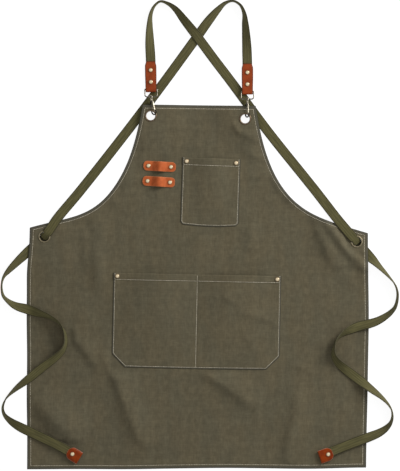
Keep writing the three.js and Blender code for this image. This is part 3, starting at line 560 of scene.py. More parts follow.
# the cloth panel, measured flat: u out from the middle, v up from the bottom hem
panel = dict(length=750.0, halfSkirt=350.0, halfBib=117.0, sideHeight=492.0, bibReach=230.0, bibLean=0.15,
             sideReach=105.0, sideLean=0.3, x=-6.3, y=-482.7, lean=0.0069, tilt=0.0125, hem=9.6,
             hemStitch=7.4, armStitch=6.4, columns=140, skirtRows=116, bibRows=78, crowding=1.5,
             armSteps=401, flareReach=45.0)
clothSurface = dict(
    droop=0.5, droopWaves=[(0.36, 52, 11), (0.2, 19, 12)],  # share, cell and seed of each noise
    droopMost=1.1, droopFrom=9.0, droopFade=9.0, rounding=0.8, roundReach=1.8, groove=0.35, grooveReach=0.9,
    puckerWaves=[(0.22, 8, 13)], puckerReach=4.0, crestShare=0.7, heldReach=14.0, heldEyelet=16.0,
    strapHalf=11.0, strapFade=10.0, hemFade=2.5, rimReach=1.2, barrel=11.2, barrelCut=11.1, barrelNear=30.0,
    barrelPower=8, floorGap=0.02,
)
propRows = [  # x, y, level radius, fall, height: edges that lie on what passes under them
    (-109, 256, 40, 55, bibProp), (106, 253, 40, 55, bibProp), (-334, -15, 43, 60, sideProp),
    (333, -23, 43, 60, sideProp), (350, -52, 8, 40, 7.4),
]
foldRows = [  # from x, y, to x, y, width, height: broad soft ridges
    (230, 26, 269, -56, 62, 2), (286, -40, 315, -118, 55, 2), (-231, 6, -214, -114, 66, 2),
    (-189, -292, -123, -461, 66, 2.5), (11, -304, 110, -366, 60, 2), (189, -325, 166, -455, 66, 2),
    (-340, -352, -264, -418, 44, 1.2),
]
creaseRows = [  # line of corner points, height, steep reach on its right hand, gentle reach on its left hand
    ([(222, 52), (240, 6), (257, -34), (279, -78)], 5.4, 11, 24),
    ([(240, 44), (262, 12), (290, -25), (317, -58), (334, -84)], 8.5, 11, 16),
    ([(317, -176), (284, -193), (259, -221), (249, -263)], 2.5, 8, 12),
    ([(-280, -205), (-241, -242), (-212, -288)], 5.6, 10, 24),
    ([(-206, -244), (-191, -279), (-171, -321), (-150, -383), (-134, -420), (-105, -455)], 7.5, 11, 30),
    ([(-12, -276), (28, -306), (63, -327), (116, -368)], 6.8, 12, 28),
    ([(190, -320), (193, -368), (182, -403), (168, -470)], 6.8, 12, 26),
    ([(180, -273), (207, -277), (232, -290)], 2.0, 6, 14),
    ([(-356, -338), (-319, -382), (-288, -415), (-252, -442)], 13.0, 22, 40),
    ([(-243, 18), (-241, -21), (-243, -65)], 2.0, 8, 16),
    ([(-224, 40), (-218, -11), (-220, -56), (-216, -124)], 3.8, 10, 20),
    ([(65, 243), (69, 223), (79, 208), (98, 200), (120, 192)], 3.2, 7, 13),
    ([(83, 165), (104, 161), (131, 150)], 2.2, 7, 14),
    ([(90, 117), (116, 117), (143, 117)], 1.8, 7, 14),
    ([(143, 117), (166, 86), (187, 66), (215, 49)], 2.6, 9, 12),
    ([(-125, 183), (-113, 167), (-96, 162), (-41, 160)], 2.4, 7, 16),
    ([(-173, 99), (-148, 104), (-119, 109)], 1.8, 6, 12),
    ([(-183, 72), (-169, 49)], 1.8, 8, 14),
    ([(96, 20), (102, -5), (90, -31)], 2.6, 9, 16),
    ([(268, -425), (296, -398), (322, -362)], 2.4, 8, 18),
    ([(-190, -178), (-228, -184), (-268, -190)], 1.6, 6, 14),
]
pocketCreases = [  # the same, on the lower pocket
    ([(69, -160), (110, -172), (164, -188)], 1.8, 7, 12),
    ([(40, -116), (61, -147)], 1.2, 5, 10),
    ([(83, -195), (96, -221), (112, -248)], 1.4, 6, 12),
]
flatRows = [  # x, y, half width, half height: where something is sewn or riveted on and the cloth stays flat
    (22.4, 87, 60, 70), (-7.3, -181, 173, 98), (-82.6, 133, 34, 28), (-258, -452, 16, 16),
    (258, -453, 16, 16),
]
unevenRows = [  # u, v, reach, move in x, move in y: where the outline was not pulled straight
    (-350, 492, 90, 2.4, 2.6), (350, 492, 90, 0, -3.2), (-350, 325, 95, -3.2, 0), (350, 305, 115, 3.4, 0),
    (-225, 528, 60, 2.2, -1.6), (350, 0, 75, 0, 2.0), (235, 0, 60, 0, -0.7), (-350, 0, 120, 0, -1.6),
    (60, 0, 90, 0, 1.2), (-150, 0, 80, 0, -1.4), (-350, 405, 38, -2.2, 0), (-350, 155, 65, -1.7, 0),
    (350, 150, 80, 1.3, 0),
]
edgeSteps = np.array([0, 0.4, 1.0, 1.9, 3.2, 4.8, 6.0, 6.8, 7.4, 8.0, 8.8, 10.0, 12.0, 15.0])

# the armhole: a cubic curve from the side's corner to the bib's, drawn towards the two corners between them
arm = np.linspace(0, 1, panel["armSteps"])[:, None]
armCorners = np.array([
    [panel["halfSkirt"], panel["sideHeight"]],
    [panel["halfSkirt"] - panel["sideReach"], panel["sideHeight"] + panel["sideLean"] * panel["sideReach"]],
    [panel["halfBib"] + panel["bibLean"] * panel["bibReach"], panel["length"] - panel["bibReach"]],
    [panel["halfBib"], panel["length"]],
])
armLine = ((1 - arm) ** 3 * armCorners[0] + 3 * (1 - arm) ** 2 * arm * armCorners[1]
           + 3 * (1 - arm) * arm**2 * armCorners[2] + arm**3 * armCorners[3])
armAhead = tangents(armLine)
armStretch = 1 / armAhead[:, 1]


def laid(u, v):
    # flat measurements to where that point lies: leaning a little, out of square, moved by bell-shaped tugs
    x = panel["x"] + u + panel["lean"] * v
    y = panel["y"] + v - panel["tilt"] * u * v / panel["length"]
    for atU, atV, reach, moveX, moveY in unevenRows:
        tug = bell(np.hypot(u - atU, v - atV), reach)
        x, y = x + moveX * tug, y + moveY * tug
    return x, y


def halfWidth(v):
    # the skirt's half width, and above its corner the armhole's
    return np.where(v <= panel["sideHeight"], panel["halfSkirt"], np.interp(v, armLine[:, 1], armLine[:, 0]))


def hemDistance(u, v):
    # square distance to the nearest edge: side, bottom, top, or the armhole and its straight start
    side = panel["halfSkirt"] - np.abs(u)
    under = (panel["sideHeight"] + panel["sideLean"] * side - v) / math.hypot(1, panel["sideLean"])
    above = (halfWidth(v) - np.abs(u)) / np.interp(v, armLine[:, 1], armStretch)
    across = np.where(v <= panel["sideHeight"], np.minimum(side, under), above)
    return np.minimum(across, np.minimum(v, panel["length"] - v))


def clothRise(x, y):
    # the highest prop, each flat to its radius and eased down over its fall, plus the ridges:
    # a half sine along, a squared cosine across
    props = [h * (1 - ease((np.hypot(x - px, y - py) - radius) / fall))
             for px, py, radius, fall, h in propRows]
    height = np.maximum.reduce(props)
    for fromX, fromY, toX, toY, width, h in foldRows:
        length = math.hypot(toX - fromX, toY - fromY)
        ax, ay = (toX - fromX) / length, (toY - fromY) / length
        share = np.clip(((x - fromX) * ax + (y - fromY) * ay) / length, 0, 1)
        aside = np.clip(np.abs((x - fromX) * ay - (y - fromY) * ax) / (width / 2), 0, 1)
        height = height + h * np.sin(np.pi * share) * np.cos(np.pi / 2 * aside) ** 2
    return height


def creaseRise(x, y, rows):
    # a ridge beside each bent line, growing and fading as a sine along it; the crest stands left of the line
    # and falls as a narrow bell to the right, a wide bell to the left
    height = np.zeros(np.shape(x))
    for line, h, steep, gentle in rows:
        line = np.array(line, dtype=float)
        lengths = np.linalg.norm(np.diff(line, axis=0), axis=1)
        starts = np.append(0, np.cumsum(lengths))
        nearest, aside, share = np.full(np.shape(x), 1e9), height * 0, height * 0
        for (fromX, fromY), (toX, toY), length, start in zip(line[:-1], line[1:], lengths, starts):
            ax, ay = (toX - fromX) / length, (toY - fromY) / length
            along = np.clip((x - fromX) * ax + (y - fromY) * ay, 0, length)
            gapX, gapY = x - fromX - along * ax, y - fromY - along * ay
            gap = np.hypot(gapX, gapY)
            closer = gap < nearest
            nearest = np.where(closer, gap, nearest)
            aside = np.where(closer, gap * np.sign(ax * gapY - ay * gapX), aside)
            share = np.where(closer, (start + along) / starts[-1], share)
        off = aside - clothSurface["crestShare"] * steep
        height = height + h * np.sin(np.pi * share) ** 0.5 * bell(off, np.where(off < 0, steep, gentle))
    return height


def heldFlat(x, y):
    # 1 where something is fixed to the cloth, easing to 0 within heldReach round it
    gaps = [np.maximum(np.abs(x - cx) - hw, np.abs(y - cy) - hh) for cx, cy, hw, hh in flatRows]
    gaps += [np.hypot(x - cx, y - cy) - clothSurface["heldEyelet"] for cx, cy in eyeletPlaces.values()]
    return ease(1 - np.minimum.reduce(gaps) / clothSurface["heldReach"])


def underStrap(x, y):
    # 1 as far as strapHalf from a strap's middle line, easing to 0 over strapFade
    spots = np.vstack(strapLines)
    gap = np.hypot(np.ravel(x)[:, None] - spots[:, 0], np.ravel(y)[:, None] - spots[:, 1]).min(1)
    return (1 - ease((gap - clothSurface["strapHalf"]) / clothSurface["strapFade"])).reshape(np.shape(x))


def clothTop(x, y, d):
    # lying level plus rise and creases, less a slack droop of two noises inside the hem, a rounded edge,
    # the thread's groove and puckers beside it
    shape, fromThread = clothSurface, d - panel["hemStitch"]
    loose = (1 - heldFlat(x, y)) * (1 - underStrap(x, y))
    droop = np.clip(shape["droop"] + noiseSum(x, y, shape["droopWaves"]), 0, shape["droopMost"])
    droop = droop * ease((d - shape["droopFrom"]) / shape["droopFade"]) * loose
    creases = creaseRise(x, y, creaseRows) * loose
    rounding = shape["rounding"] * (1 - ease(d / shape["roundReach"]))
    groove = shape["groove"] * bell(fromThread, shape["grooveReach"])
    pucker = np.abs(noiseSum(x, y, shape["puckerWaves"]) * bell(fromThread, shape["puckerReach"]))
    return clothTopLevel + clothRise(x, y) + creases - droop - rounding - groove - pucker


def clothSkin():
    # a grid whose outer columns and rows follow the edges at fixed distances
    shape, rim, flareReach = clothSurface, edgeSteps[-1], panel["flareReach"]
    corner, length = panel["sideHeight"], panel["length"]
    skirt = np.linspace(rim, corner, panel["skirtRows"])[1:]
    bib = np.linspace(0, 1, panel["bibRows"])[1:] ** panel["crowding"]
    bib = corner + bib * (length - rim - corner)
    v = np.concatenate([edgeSteps, skirt, bib, length - edgeSteps[-2::-1]])[:, None]
    half = halfWidth(v)
    flare = (armStretch[0] - 1) * ease((v - corner + flareReach) / flareReach)
    stretch = np.where(v <= corner, 1 + flare, np.interp(v, armLine[:, 1], armStretch))
    middle = np.linspace(-1, 1, panel["columns"])[None, 1:-1] * (half - rim * stretch)
    u = np.concatenate([-half + edgeSteps * stretch, middle, half - edgeSteps[::-1] * stretch], 1)
    v = np.broadcast_to(v, u.shape)
    d = hemDistance(u, v)
    x, y = laid(u, v)
    punched = np.zeros(u.shape, dtype=bool)
    power = shape["barrelPower"]
    for cx, cy in eyeletPlaces.values():  # points near an eyelet are pushed out to its barrel
        r = np.maximum(np.hypot(x - cx, y - cy), 0.01)
        punched |= r < shape["barrelCut"]
        push = (r**power + shape["barrel"] ** power) ** (1 / power) / r
        push = np.where(r < shape["barrelNear"], push, 1)
        x, y = cx + (x - cx) * push, cy + (y - cy) * push
    top = clothTop(x, y, d)
    doubled = 1 - ease((d - panel["hem"]) / shape["hemFade"])
    under = top - clothThick * (1 + doubled) * (0.5 + 0.5 * ease(d / shape["rimReach"]))
    under = np.maximum(under, shape["floorGap"])
    inside = punched[:-1, :-1] & punched[:-1, 1:] & punched[1:, :-1] & punched[1:, 1:]
    points, faces, used = sheetSkin(np.stack([x, y, top], -1), np.stack([x, y, under], -1), ~inside)
    return (points, faces), np.tile(d.ravel(), 2)[used]


skin, edge = clothSkin()
cloth = addPiece("apronCloth", skin, canvas, ["apron_body"], edge=edge, shade=60)

# patch pockets: p out from the middle, q up from the bottom edge
pockets = dict(
    chest=dict(u=24.6, v=503.0, width=120.0, height=138.0, chamfer=5.0, sag=3.4, turn=-1.5, bays=1, swell=7.0,
               margin=15.0, hemStitch=14.9, rivetIn=9.0, rivetDown=8.0, node="chest_pocket", columns=54,
               rows=50),
    lower=dict(u=-2.5, v=207.0, width=346.0, height=194.0, chamfer=27.0, sag=1.2, turn=-0.8, bays=2,
               swell=8.0, margin=15.0, hemStitch=13.9, rivetIn=8.0, rivetDown=7.0, node="lower_pocket",
               columns=110, rows=60),
)
pocketSurface = dict(
    waves=[(0.35, 40, 21), (0.2, 15, 22)],  # share, cell and seed of each noise
    acrossPower=1.25, upPower=1.1, slackFrom=4.0, slackMouth=2.0, slackFade=20.0, seamIn=3.0, seamReach=0.8,
    hemReach=0.9, groove=0.3, middleGroove=0.5, middleReach=1.6, hemThick=0.9, hemPast=1.5, hemFade=2.0,
    rounding=0.7, mouthRounding=0.9, roundReach=1.5, rimReach=1.2, seamCut=1.8, seamEnd=0.5, middleEnd=2.5,
)
pocketSteps = np.array([0, 0.4, 1.0, 1.8, 2.5, 3.0, 3.5, 4.3, 6.0, 9.0])


def pocketPlace(pocket, p, q):
    # turned about the pocket's middle, with a parabola of slack that grows towards the bottom
    turn = math.radians(pocket["turn"])
    c, s = math.cos(turn), math.sin(turn)
    sag = pocket["sag"] * (1 - (2 * p / pocket["width"]) ** 2) * (1 - q / pocket["height"])
    up = q - pocket["height"] / 2 - sag
    return laid(pocket["u"] + p * c - up * s, pocket["v"] + pocket["height"] / 2 + p * s + up * c)


def pocketHalf(pocket, q):
    # half the width, less what the slanting corner takes off
    return pocket["width"] / 2 - np.maximum(0, pocket["chamfer"] - q)


def pocketSlant(pocket, q):
    # a level way to the edge over the square way
    return np.where(q < pocket["chamfer"], math.sqrt(2), 1)


def pocketHem(pocket, q):
    # the turned mouth's extra thickness, easing out just past its thread
    past = pocket["hemStitch"] + pocketSurface["hemPast"] - pocket["height"] + q
    return pocketSurface["hemThick"] * ease(past / pocketSurface["hemFade"])


def pocketSwell(pocket, p, q):
    # each bay rises as a sine across and a quarter sine towards the open mouth
    inner = np.maximum(pocketHalf(pocket, q) - pocket["margin"], 1)
    bay = np.clip((p + inner) / (2 * inner), 0, 1) * pocket["bays"]
    across = np.abs(np.sin(np.pi * bay)) ** pocketSurface["acrossPower"]
    upwards = np.sin(np.pi / 2 * np.clip(q / pocket["height"], 0, 1)) ** pocketSurface["upPower"]
    return pocket["swell"] * across * upwards


def pocketTop(pocket, p, q):
    # level, swell and slack noise, a rounded sewn edge, grooves along the threads, a doubled mouth hem
    shape, fromMouth = pocketSurface, pocket["height"] - q
    d = np.minimum((pocketHalf(pocket, q) - np.abs(p)) / pocketSlant(pocket, q), q)
    x, y = pocketPlace(pocket, p, q)
    slack = noiseSum(x, y, shape["waves"]) + creaseRise(x, y, pocketCreases)
    slack = slack * ease((d - shape["slackFrom"]) / shape["slackFade"])
    slack = slack * ease((fromMouth - shape["slackMouth"]) / shape["slackFade"])
    grooves = shape["groove"] * bell(d - shape["seamIn"], shape["seamReach"])
    grooves = grooves + shape["groove"] * bell(fromMouth - pocket["hemStitch"], shape["hemReach"])
    if pocket["bays"] == 2:
        grooves = grooves + shape["middleGroove"] * bell(p, shape["middleReach"])
    rounding = shape["rounding"] * (1 - ease(d / shape["roundReach"]))
    rounding = rounding + shape["mouthRounding"] * (1 - ease(fromMouth / shape["roundReach"]))
    level = overPanel + clothThick + pocketSwell(pocket, p, q)
    return level + slack + pocketHem(pocket, q) - grooves - rounding, d


def pocketSkin(pocket):
    # a grid that follows the sewn edges at fixed distances, closer at the mouth and along its thread
    h, rim = pocket["height"], pocketSteps[-1]
    nearThread = pocket["hemStitch"] + np.array([-1.2, -0.5, 0, 0.5, 1.4, 3])
    mouth = np.append([0, 0.3, 0.8, 1.6, 3, 5, 8, 11], nearThread)
    between = np.linspace(rim, h - mouth[-1], pocket["rows"])[1:-1]
    q = np.concatenate([pocketSteps, between, h - mouth[::-1]])[:, None]
    half, slant = pocketHalf(pocket, q), pocketSlant(pocket, q)
    middle = np.linspace(-1, 1, pocket["columns"] + 1)[None, 1:-1] * (half - rim * slant)
    p = np.concatenate([-half + pocketSteps * slant, middle, half - pocketSteps[::-1] * slant], 1)
    q = np.broadcast_to(q, p.shape)
    x, y = pocketPlace(pocket, p, q)
    top, d = pocketTop(pocket, p, q)
    share = 0.55 + 0.45 * ease(np.minimum(d, h - q) / pocketSurface["rimReach"])
    under = np.maximum(top - (clothThick + pocketHem(pocket, q)) * share, overPanel)
    points, faces, used = sheetSkin(np.stack([x, y, top], -1), np.stack([x, y, under], -1))
    return (points, faces), np.tile(2 * d.ravel(), 2)[used]  # their hem band is half as wide


for name, pocket in pockets.items():
    skin, edge = pocketSkin(pocket)
    piece = addPiece(name + "Pocket", skin, canvas, [pocket["node"]], edge=edge, shade=60)
    print(name, "pocket made")

# seams: short spindles of thread, end to end along each line
stitchShape = dict(pitch=3.4, length=3.0, half=0.58, rise=0.42, lift=0.25, sides=6, skew=0.05, endSink=0.35,
                   glance=0.4)
stitchRings = [(-1.0, 0.25), (-0.5, 1.0), (0.5, 1.0), (1.0, 0.25)]  # place along it, share of the thickness


def stitchSkin(lines, shape, seed):
    # a six-sided spindle of four rings at every pitch along each line, turned to the line's direction
    centres, aheads = [], []
    for line in lines:
        run = runAlong(line)
        at = np.arange(shape["pitch"] / 2, run[-1], shape["pitch"])
        centres.append(pointsAt(line, run, at))
        before, after = (pointsAt(line, run, at + way * shape["glance"]) for way in (-1, 1))
        aheads.append(unit(after - before))
    centres, aheads = np.vstack(centres), np.vstack(aheads)
    skew = np.random.default_rng(seed).normal(0, shape["skew"], len(centres))[:, None]
    sides = np.stack([-aheads[:, 1], aheads[:, 0], 0 * aheads[:, 0]], -1)
    aheads, sides = aheads + sides * skew, sides - aheads * skew
    t, r = np.repeat(stitchRings, shape["sides"], axis=0).T
    around, upwards = (r * np.tile(wave, len(stitchRings)) for wave in circle(shape["sides"]))
    upwards = upwards - shape["endSink"] * t**2
    points = (centres[:, None] + aheads[:, None] * (t * shape["length"] / 2)[None, :, None]
              + sides[:, None] * (around * shape["half"])[None, :, None]
              + np.array([0, 0, 1])[None, None] * (upwards * shape["rise"])[None, :, None])
    single = ringSkin(points[0].reshape(len(stitchRings), shape["sides"], 3))[1]
    starts = (np.arange(len(centres)) * len(t))[:, None, None]
    quads, caps = (np.array(part)[None] + starts for part in (single[:-2], single[-2:]))
    return points.reshape(-1, 3), quads.reshape(-1, 4).tolist() + caps.reshape(-1, shape["sides"]).tolist()


def straight(ends, count):
    # evenly spaced points along a bent line of corner points
    ends = np.array(ends, dtype=float)
    run = runAlong(ends)
    return pointsAt(ends, run, np.linspace(0, run[-1], count))


def sewn(lines, surface):
    # each flat line carried onto a surface, the thread a little above it
    return [np.stack(surface(*line.T), -1) + (0, 0, stitchShape["lift"]) for line in lines]


def onPanel(u, v):
    # a flat point's place on the lying panel
    x, y = laid(u, v)
    return x, y, clothTop(x, y, hemDistance(u, v))


def panelSeams():
    # along the bottom and the top, up both sides and round both armholes
    stitch = panel["hemStitch"]
    side, top = panel["halfSkirt"] - stitch, panel["length"] - stitch
    inwards = np.stack([-armAhead[:, 1], armAhead[:, 0]], -1)
    armSeam = armLine + inwards * panel["armStitch"]
    armSeam = armSeam[(armSeam[:, 0] < side) & (armSeam[:, 1] < top)]
    sideSeam = straight([(side, stitch), (side, armSeam[0, 1])], 160)
    bib = armSeam[-1, 0]
    lines = [straight([(-side, stitch), (side, stitch)], 240), straight([(-bib, top), (bib, top)], 90)]
    for mirror in (-1, 1):
        lines += [sideSeam * (mirror, 1), armSeam * (mirror, 1)]
    return sewn(lines, onPanel)


def pocketSeams(pocket):
    # down one side, along the bottom and up the other, across below the mouth, and between two bays
    shape, seam, h = pocketSurface, pocketSurface["seamIn"], pocket["height"]
    half, cut = pocket["width"] / 2 - seam, max(pocket["chamfer"] - shape["seamCut"], 0)
    left = [(-half, h - shape["seamEnd"]), (-half, seam + cut), (-half + cut, seam)]
    right = [(-p, q) for p, q in left[::-1]]
    hemLine = h - pocket["hemStitch"]
    lines = [straight(left + right, 400), straight([(-half, hemLine), (half, hemLine)], 160)]
    if pocket["bays"] == 2:
        lines += [straight([(0, h - shape["middleEnd"]), (0, seam)], 120)]
    return sewn(lines, lambda p, q: (*pocketPlace(pocket, p, q), pocketTop(pocket, p, q)[0]))


seams = dict(hemStitching=panelSeams(), chestStitching=pocketSeams(pockets["chest"]),
             lowerStitching=pocketSeams(pockets["lower"]))
for seed, (name, lines) in enumerate(seams.items()):
    addPiece(name, stitchSkin(lines, stitchShape, seed), thread, shade=180)
print("seams sewn")


# leather strips
stripShape = dict(sides=28, widePower=0.22, highPower=0.5, squareness=16, shoulder=0.6)


def stripSkin(path, widths):
    # a flattened oval section carried along a path of distance and height, as wide as widths says
    shape, half = stripShape, widths[:, None] / 2
    ahead = tangents(path)
    normal = np.stack([-ahead[:, 1], ahead[:, 0]], -1)
    cosines, sines = circle(shape["sides"])
    a = squared(cosines, shape["widePower"])
    rounding = np.sqrt(np.clip(1 - np.abs(a) ** shape["squareness"], 0, 1)) ** shape["shoulder"]
    b = squared(sines, shape["highPower"]) * rounding
    y = path[:, :1] + normal[:, :1] * b * leatherThick / 2
    z = path[:, 1:] + normal[:, 1:] * b * leatherThick / 2
    run = runAlong(path)
    edge = np.minimum((1 - np.abs(a)) * half, np.minimum(run, run[-1] - run)[:, None])
    return ringSkin(np.stack([a * half, y, z], -1)), edge.ravel()


def roundedWidth(width, corner, fromEnd):
    # full width, drawn in as a circle of the corner's radius near the end
    near = np.clip(fromEnd, 0, corner)
    return width - 2 * (corner - np.sqrt(np.maximum(corner**2 - (corner - near) ** 2, 0)))


def endSteps(corner, count=10):
    # distances from an end, crowded towards it
    return corner * (1 - np.cos(np.linspace(0.06, 1, count) * math.pi / 2))


# the bib's two loops: flat riveted ends and an arch between them
penLoop = dict(length=67.0, width=20.5, corner=8.0, rise=8.5, archHalf=16.0, rivetSpacing=46.5)
penLoops = dict(upper=dict(u=-80.5, v=623.0, turn=-3.2), lower=dict(u=-82.2, v=591.5, turn=-3.7))


def penLoopSkin():
    # flat at both ends, a squared cosine high between them
    half, level = penLoop["length"] / 2, overPanel + leatherThick / 2
    ends = half - endSteps(penLoop["corner"])
    flat = np.linspace(ends[-1], penLoop["archHalf"], 6)[1:-1]
    arch = np.linspace(-penLoop["archHalf"], penLoop["archHalf"], 33)
    along = np.concatenate([-ends, -flat, arch, flat[::-1], ends[::-1]])
    bend = np.cos(np.pi / 2 * np.clip(along / penLoop["archHalf"], -1, 1)) ** 2
    widths = roundedWidth(penLoop["width"], penLoop["corner"], half - np.abs(along))
    return stripSkin(np.stack([along, level + penLoop["rise"] * bend], -1), widths)


rivetSpots = {}  # node name to x, y, back and front
front = overPanel + leatherThick + clearance
for name, loop in penLoops.items():
    (points, faces), edge = penLoopSkin()
    where = (*laid(loop["u"], loop["v"]), loop["turn"] - 90)
    addPiece("penLoop" + name.capitalize(), (turnedPlace(points, *where), faces), leather["loop"],
             ["pen_loop_" + name], edge=edge)
    for side, way in (("left", -0.5), ("right", 0.5)):
        spot = turnedSpot(way * penLoop["rivetSpacing"], *where)
        rivetSpots[f"rivet_pen_loop_{name}_{side}"] = (*spot, rivetBack, front)
front = overPanel + 2 * clothThick + clearance
for pocket in pockets.values():
    p, q = pocket["width"] / 2 - pocket["rivetIn"], pocket["height"] - pocket["rivetDown"]
    for side, way in (("left", -1), ("right", 1)):
        rivetSpots[f"rivet_{pocket['node']}_{side}"] = (*pocketPlace(pocket, way * p, q), rivetBack, front)

# tabs: one strip from the top of the back, round the ring, to the top of the front
tab = dict(length=64.0, width=23.6, topWidth=18.8, taper=10.0, ringWidth=22.6, narrowFrom=24.0,
           narrowReach=34.0, endIn=1.2, endReach=1.5, rivets=(-18.5, -42.9), flatTo=-47.0, climb=6.0,
           ringGap=3.0)
tabs = dict(left=dict(x=-101.3, y=358.2, turn=0.9, hookYaw=9.8, hookRoll=33),
            right=dict(x=98.6, y=353.4, turn=0.0, hookYaw=-1, hookRoll=27))
tabBack = tabBottom + leatherThick / 2
tabFront = inTab + strapShape["thick"] + clearance + leatherThick / 2
ringFront = tabBack + leatherThick + tab["ringGap"]
ringLevel = (tabBack + ringFront) / 2


def foldRound(at, low, high, steps=12):
    # half a circle from the lower layer to the upper
    turn = np.linspace(0, math.pi, steps)
    radius = (high - low) / 2
    return np.stack([at - radius * np.sin(turn), (low + high) / 2 - radius * np.cos(turn)], -1)


def tabSkin():
    # the back layer, half a circle round the ring, and the front layer, which climbs onto the webbing
    fold = -tab["length"] + (ringFront - tabBack) / 2 + leatherThick / 2
    stops = np.concatenate([[0, 0.15, 0.5, 1.2, 2.2], np.linspace(4, -fold, 16)[:-1]])
    back = np.stack([-stops, np.full(len(stops), tabBack)], -1)
    climbed = ease((-stops[::-1] - tab["flatTo"] + tab["climb"]) / tab["climb"])
    front = np.stack([-stops[::-1], ringFront + (tabFront - ringFront) * climbed], -1)
    path = np.vstack([back, foldRound(fold, tabBack, ringFront), front])
    down = -path[:, 0]
    widths = tab["topWidth"] + (tab["width"] - tab["topWidth"]) * ease(down / tab["taper"])
    widths += (tab["ringWidth"] - tab["width"]) * ease((down - tab["narrowFrom"]) / tab["narrowReach"])
    widths -= tab["endIn"] * (1 - ease(down / tab["endReach"]))
    return stripSkin(path, widths)


back, front = tabBottom - clearance - washerThick, tabFront + leatherThick / 2 + clearance
for side, place in tabs.items():
    (points, faces), edge = tabSkin()
    where = place["x"], place["y"], place["turn"]
    addPiece("tab" + side.capitalize(), (turnedPlace(points, *where), faces), leather["tab"],
             ["tab_" + side], edge=edge)
    for number, along in enumerate(tab["rivets"], 1):
        rivetSpots[f"rivet_tab_{side}_{number}"] = (*turnedSpot(along, *where), back, front)

# strap tips: folded over the end of the webbing, round where they lie on it
tip = dict(length=29.0, width=27.0, corner=12.0, foldRadius=2.0, droop=1.7, droopFrom=9.2, droopReach=4.3)
tips = dict(left=dict(x=-247.4, y=-461.6, turn=59, rivetAt=17.6),
            right=dict(x=247.3, y=-459.6, turn=-70, rivetAt=19.2))


def tipSkin():
    # two layers with half a circle between them; the upper one droops past the webbing's edges
    back = overPanel + tipRoom + leatherThick / 2
    front = back + 2 * tip["foldRadius"]
    fold = tip["foldRadius"] + leatherThick / 2
    even = np.linspace(tip["corner"], tip["length"] - fold, 8)[1:-1]
    stops = tip["length"] - np.concatenate([endSteps(tip["corner"], 14), even])
    lower = np.stack([stops, np.full(len(stops), back)], -1)
    upper = np.stack([stops[::-1], np.full(len(stops), front)], -1)
    path = np.vstack([lower, foldRound(fold, back, front), upper])
    widths = roundedWidth(tip["width"], tip["corner"], tip["length"] - path[:, 0])
    (points, faces), edge = stripSkin(path, widths)
    over = ease((points[:, 2] - (back + front) / 2) / tip["foldRadius"])
    points[:, 2] -= tip["droop"] * over * ease((np.abs(points[:, 0]) - tip["droopFrom"]) / tip["droopReach"])
    return (points, faces), edge


front = overPanel + tipRoom + 2 * tip["foldRadius"] + leatherThick + clearance
for side, place in tips.items():
    (points, faces), edge = tipSkin()
    where = place["x"], place["y"], place["turn"]
    addPiece("tip" + side.capitalize(), (turnedPlace(points, *where), faces), leather["tip"],
             ["tip_" + side], edge=edge)
    rivetSpots[f"rivet_tip_{side}"] = (*turnedSpot(place["rivetAt"], *where), overPanel, front)
print("leather cut")


# turned metal
def lathe(profile, sides, loop=False):
    # a profile of radius and height carried round the vertical
    profile = np.asarray(profile, dtype=float)
    cosines, sines = circle(sides)
    rings = np.stack([profile[:, :1] * cosines, profile[:, :1] * sines,
                      np.broadcast_to(profile[:, 1:], (len(profile), sides))], -1)
    return ringSkin(rings, loop)


rivet = dict(washer=3.8, shank=1.8, cap=4.4, capIn=0.25, capEdge=0.55, domeIn=0.15, domeFoot=0.75, dome=2.2,
             bevel=0.2, sides=28)
pole = 0.3  # the radius that a turned piece's flat ends close from


def rivetSkin(back, front):
    # washer, shank, and a cap whose dome is a quarter ellipse
    washer, shank, cap, bevel, foot = (rivet[k] for k in ("washer", "shank", "cap", "bevel", "domeFoot"))
    washerTop = back + washerThick
    lower = [(pole, back), (washer - bevel, back), (washer, back + bevel), (washer, washerTop - bevel),
             (washer - bevel, washerTop), (shank, washerTop), (shank, front), (cap - rivet["capIn"], front),
             (cap, front + bevel), (cap, front + rivet["capEdge"])]
    top = np.linspace(0, 0.97, 9) * math.pi / 2
    high = front + foot + (rivet["dome"] - foot) * np.sin(top)
    profile = np.vstack([lower, np.stack([(cap - rivet["domeIn"]) * np.cos(top), high], -1)])
    return lathe(profile, rivet["sides"]), np.repeat(cap - profile[:, 0], rivet["sides"])


for node, (x, y, back, front) in rivetSpots.items():
    (points, faces), edge = rivetSkin(back, front)
    name = "".join([word.capitalize() if n else word for n, word in enumerate(node.split("_"))])
    addPiece(name, (points + np.array([x, y, 0]), faces), metal["paleBrass"], [node], edge=edge,
             shade=35)

eyelet = dict(hole=strapShape["hole"], barrel=10.9, flange=12.5, lip=eyeletLip, bevel=0.2, backBevel=0.25,
              sides=64)
eyelets = dict(
    bibLeft=("grommet_bib_left", bibProp, "oldBrass"), bibRight=("grommet_bib_right", bibProp, "oldBrass"),
    sideLeft=("grommet_side_left", sideProp, "sideBrass"),
    sideRight=("grommet_side_right", sideProp, "sideBrass"),
)


def eyeletSkin(level):
    # a flat washer behind, a barrel, and a flange rolled over in half a circle in front
    hole, barrel, flange, lip, bevel = (eyelet[k] for k in ("hole", "barrel", "flange", "lip", "bevel"))
    bottom, top = level - clearance - lip, level + clothTopLevel + clearance + lip
    under = [(hole, bottom + bevel), (hole + bevel, bottom), (flange - bevel, bottom),
             (flange, bottom + eyelet["backBevel"]), (flange - bevel, bottom + lip), (barrel, bottom + lip),
             (barrel, top - lip)]
    turn = np.linspace(0, math.pi, 13)
    out = (flange + hole) / 2 + (flange - hole) / 2 * np.cos(turn)
    profile = np.vstack([under, np.stack([out, top - lip + lip * np.sin(turn)], -1)])
    return lathe(profile, eyelet["sides"], loop=True), np.repeat(profile[:, 0] - hole, eyelet["sides"])


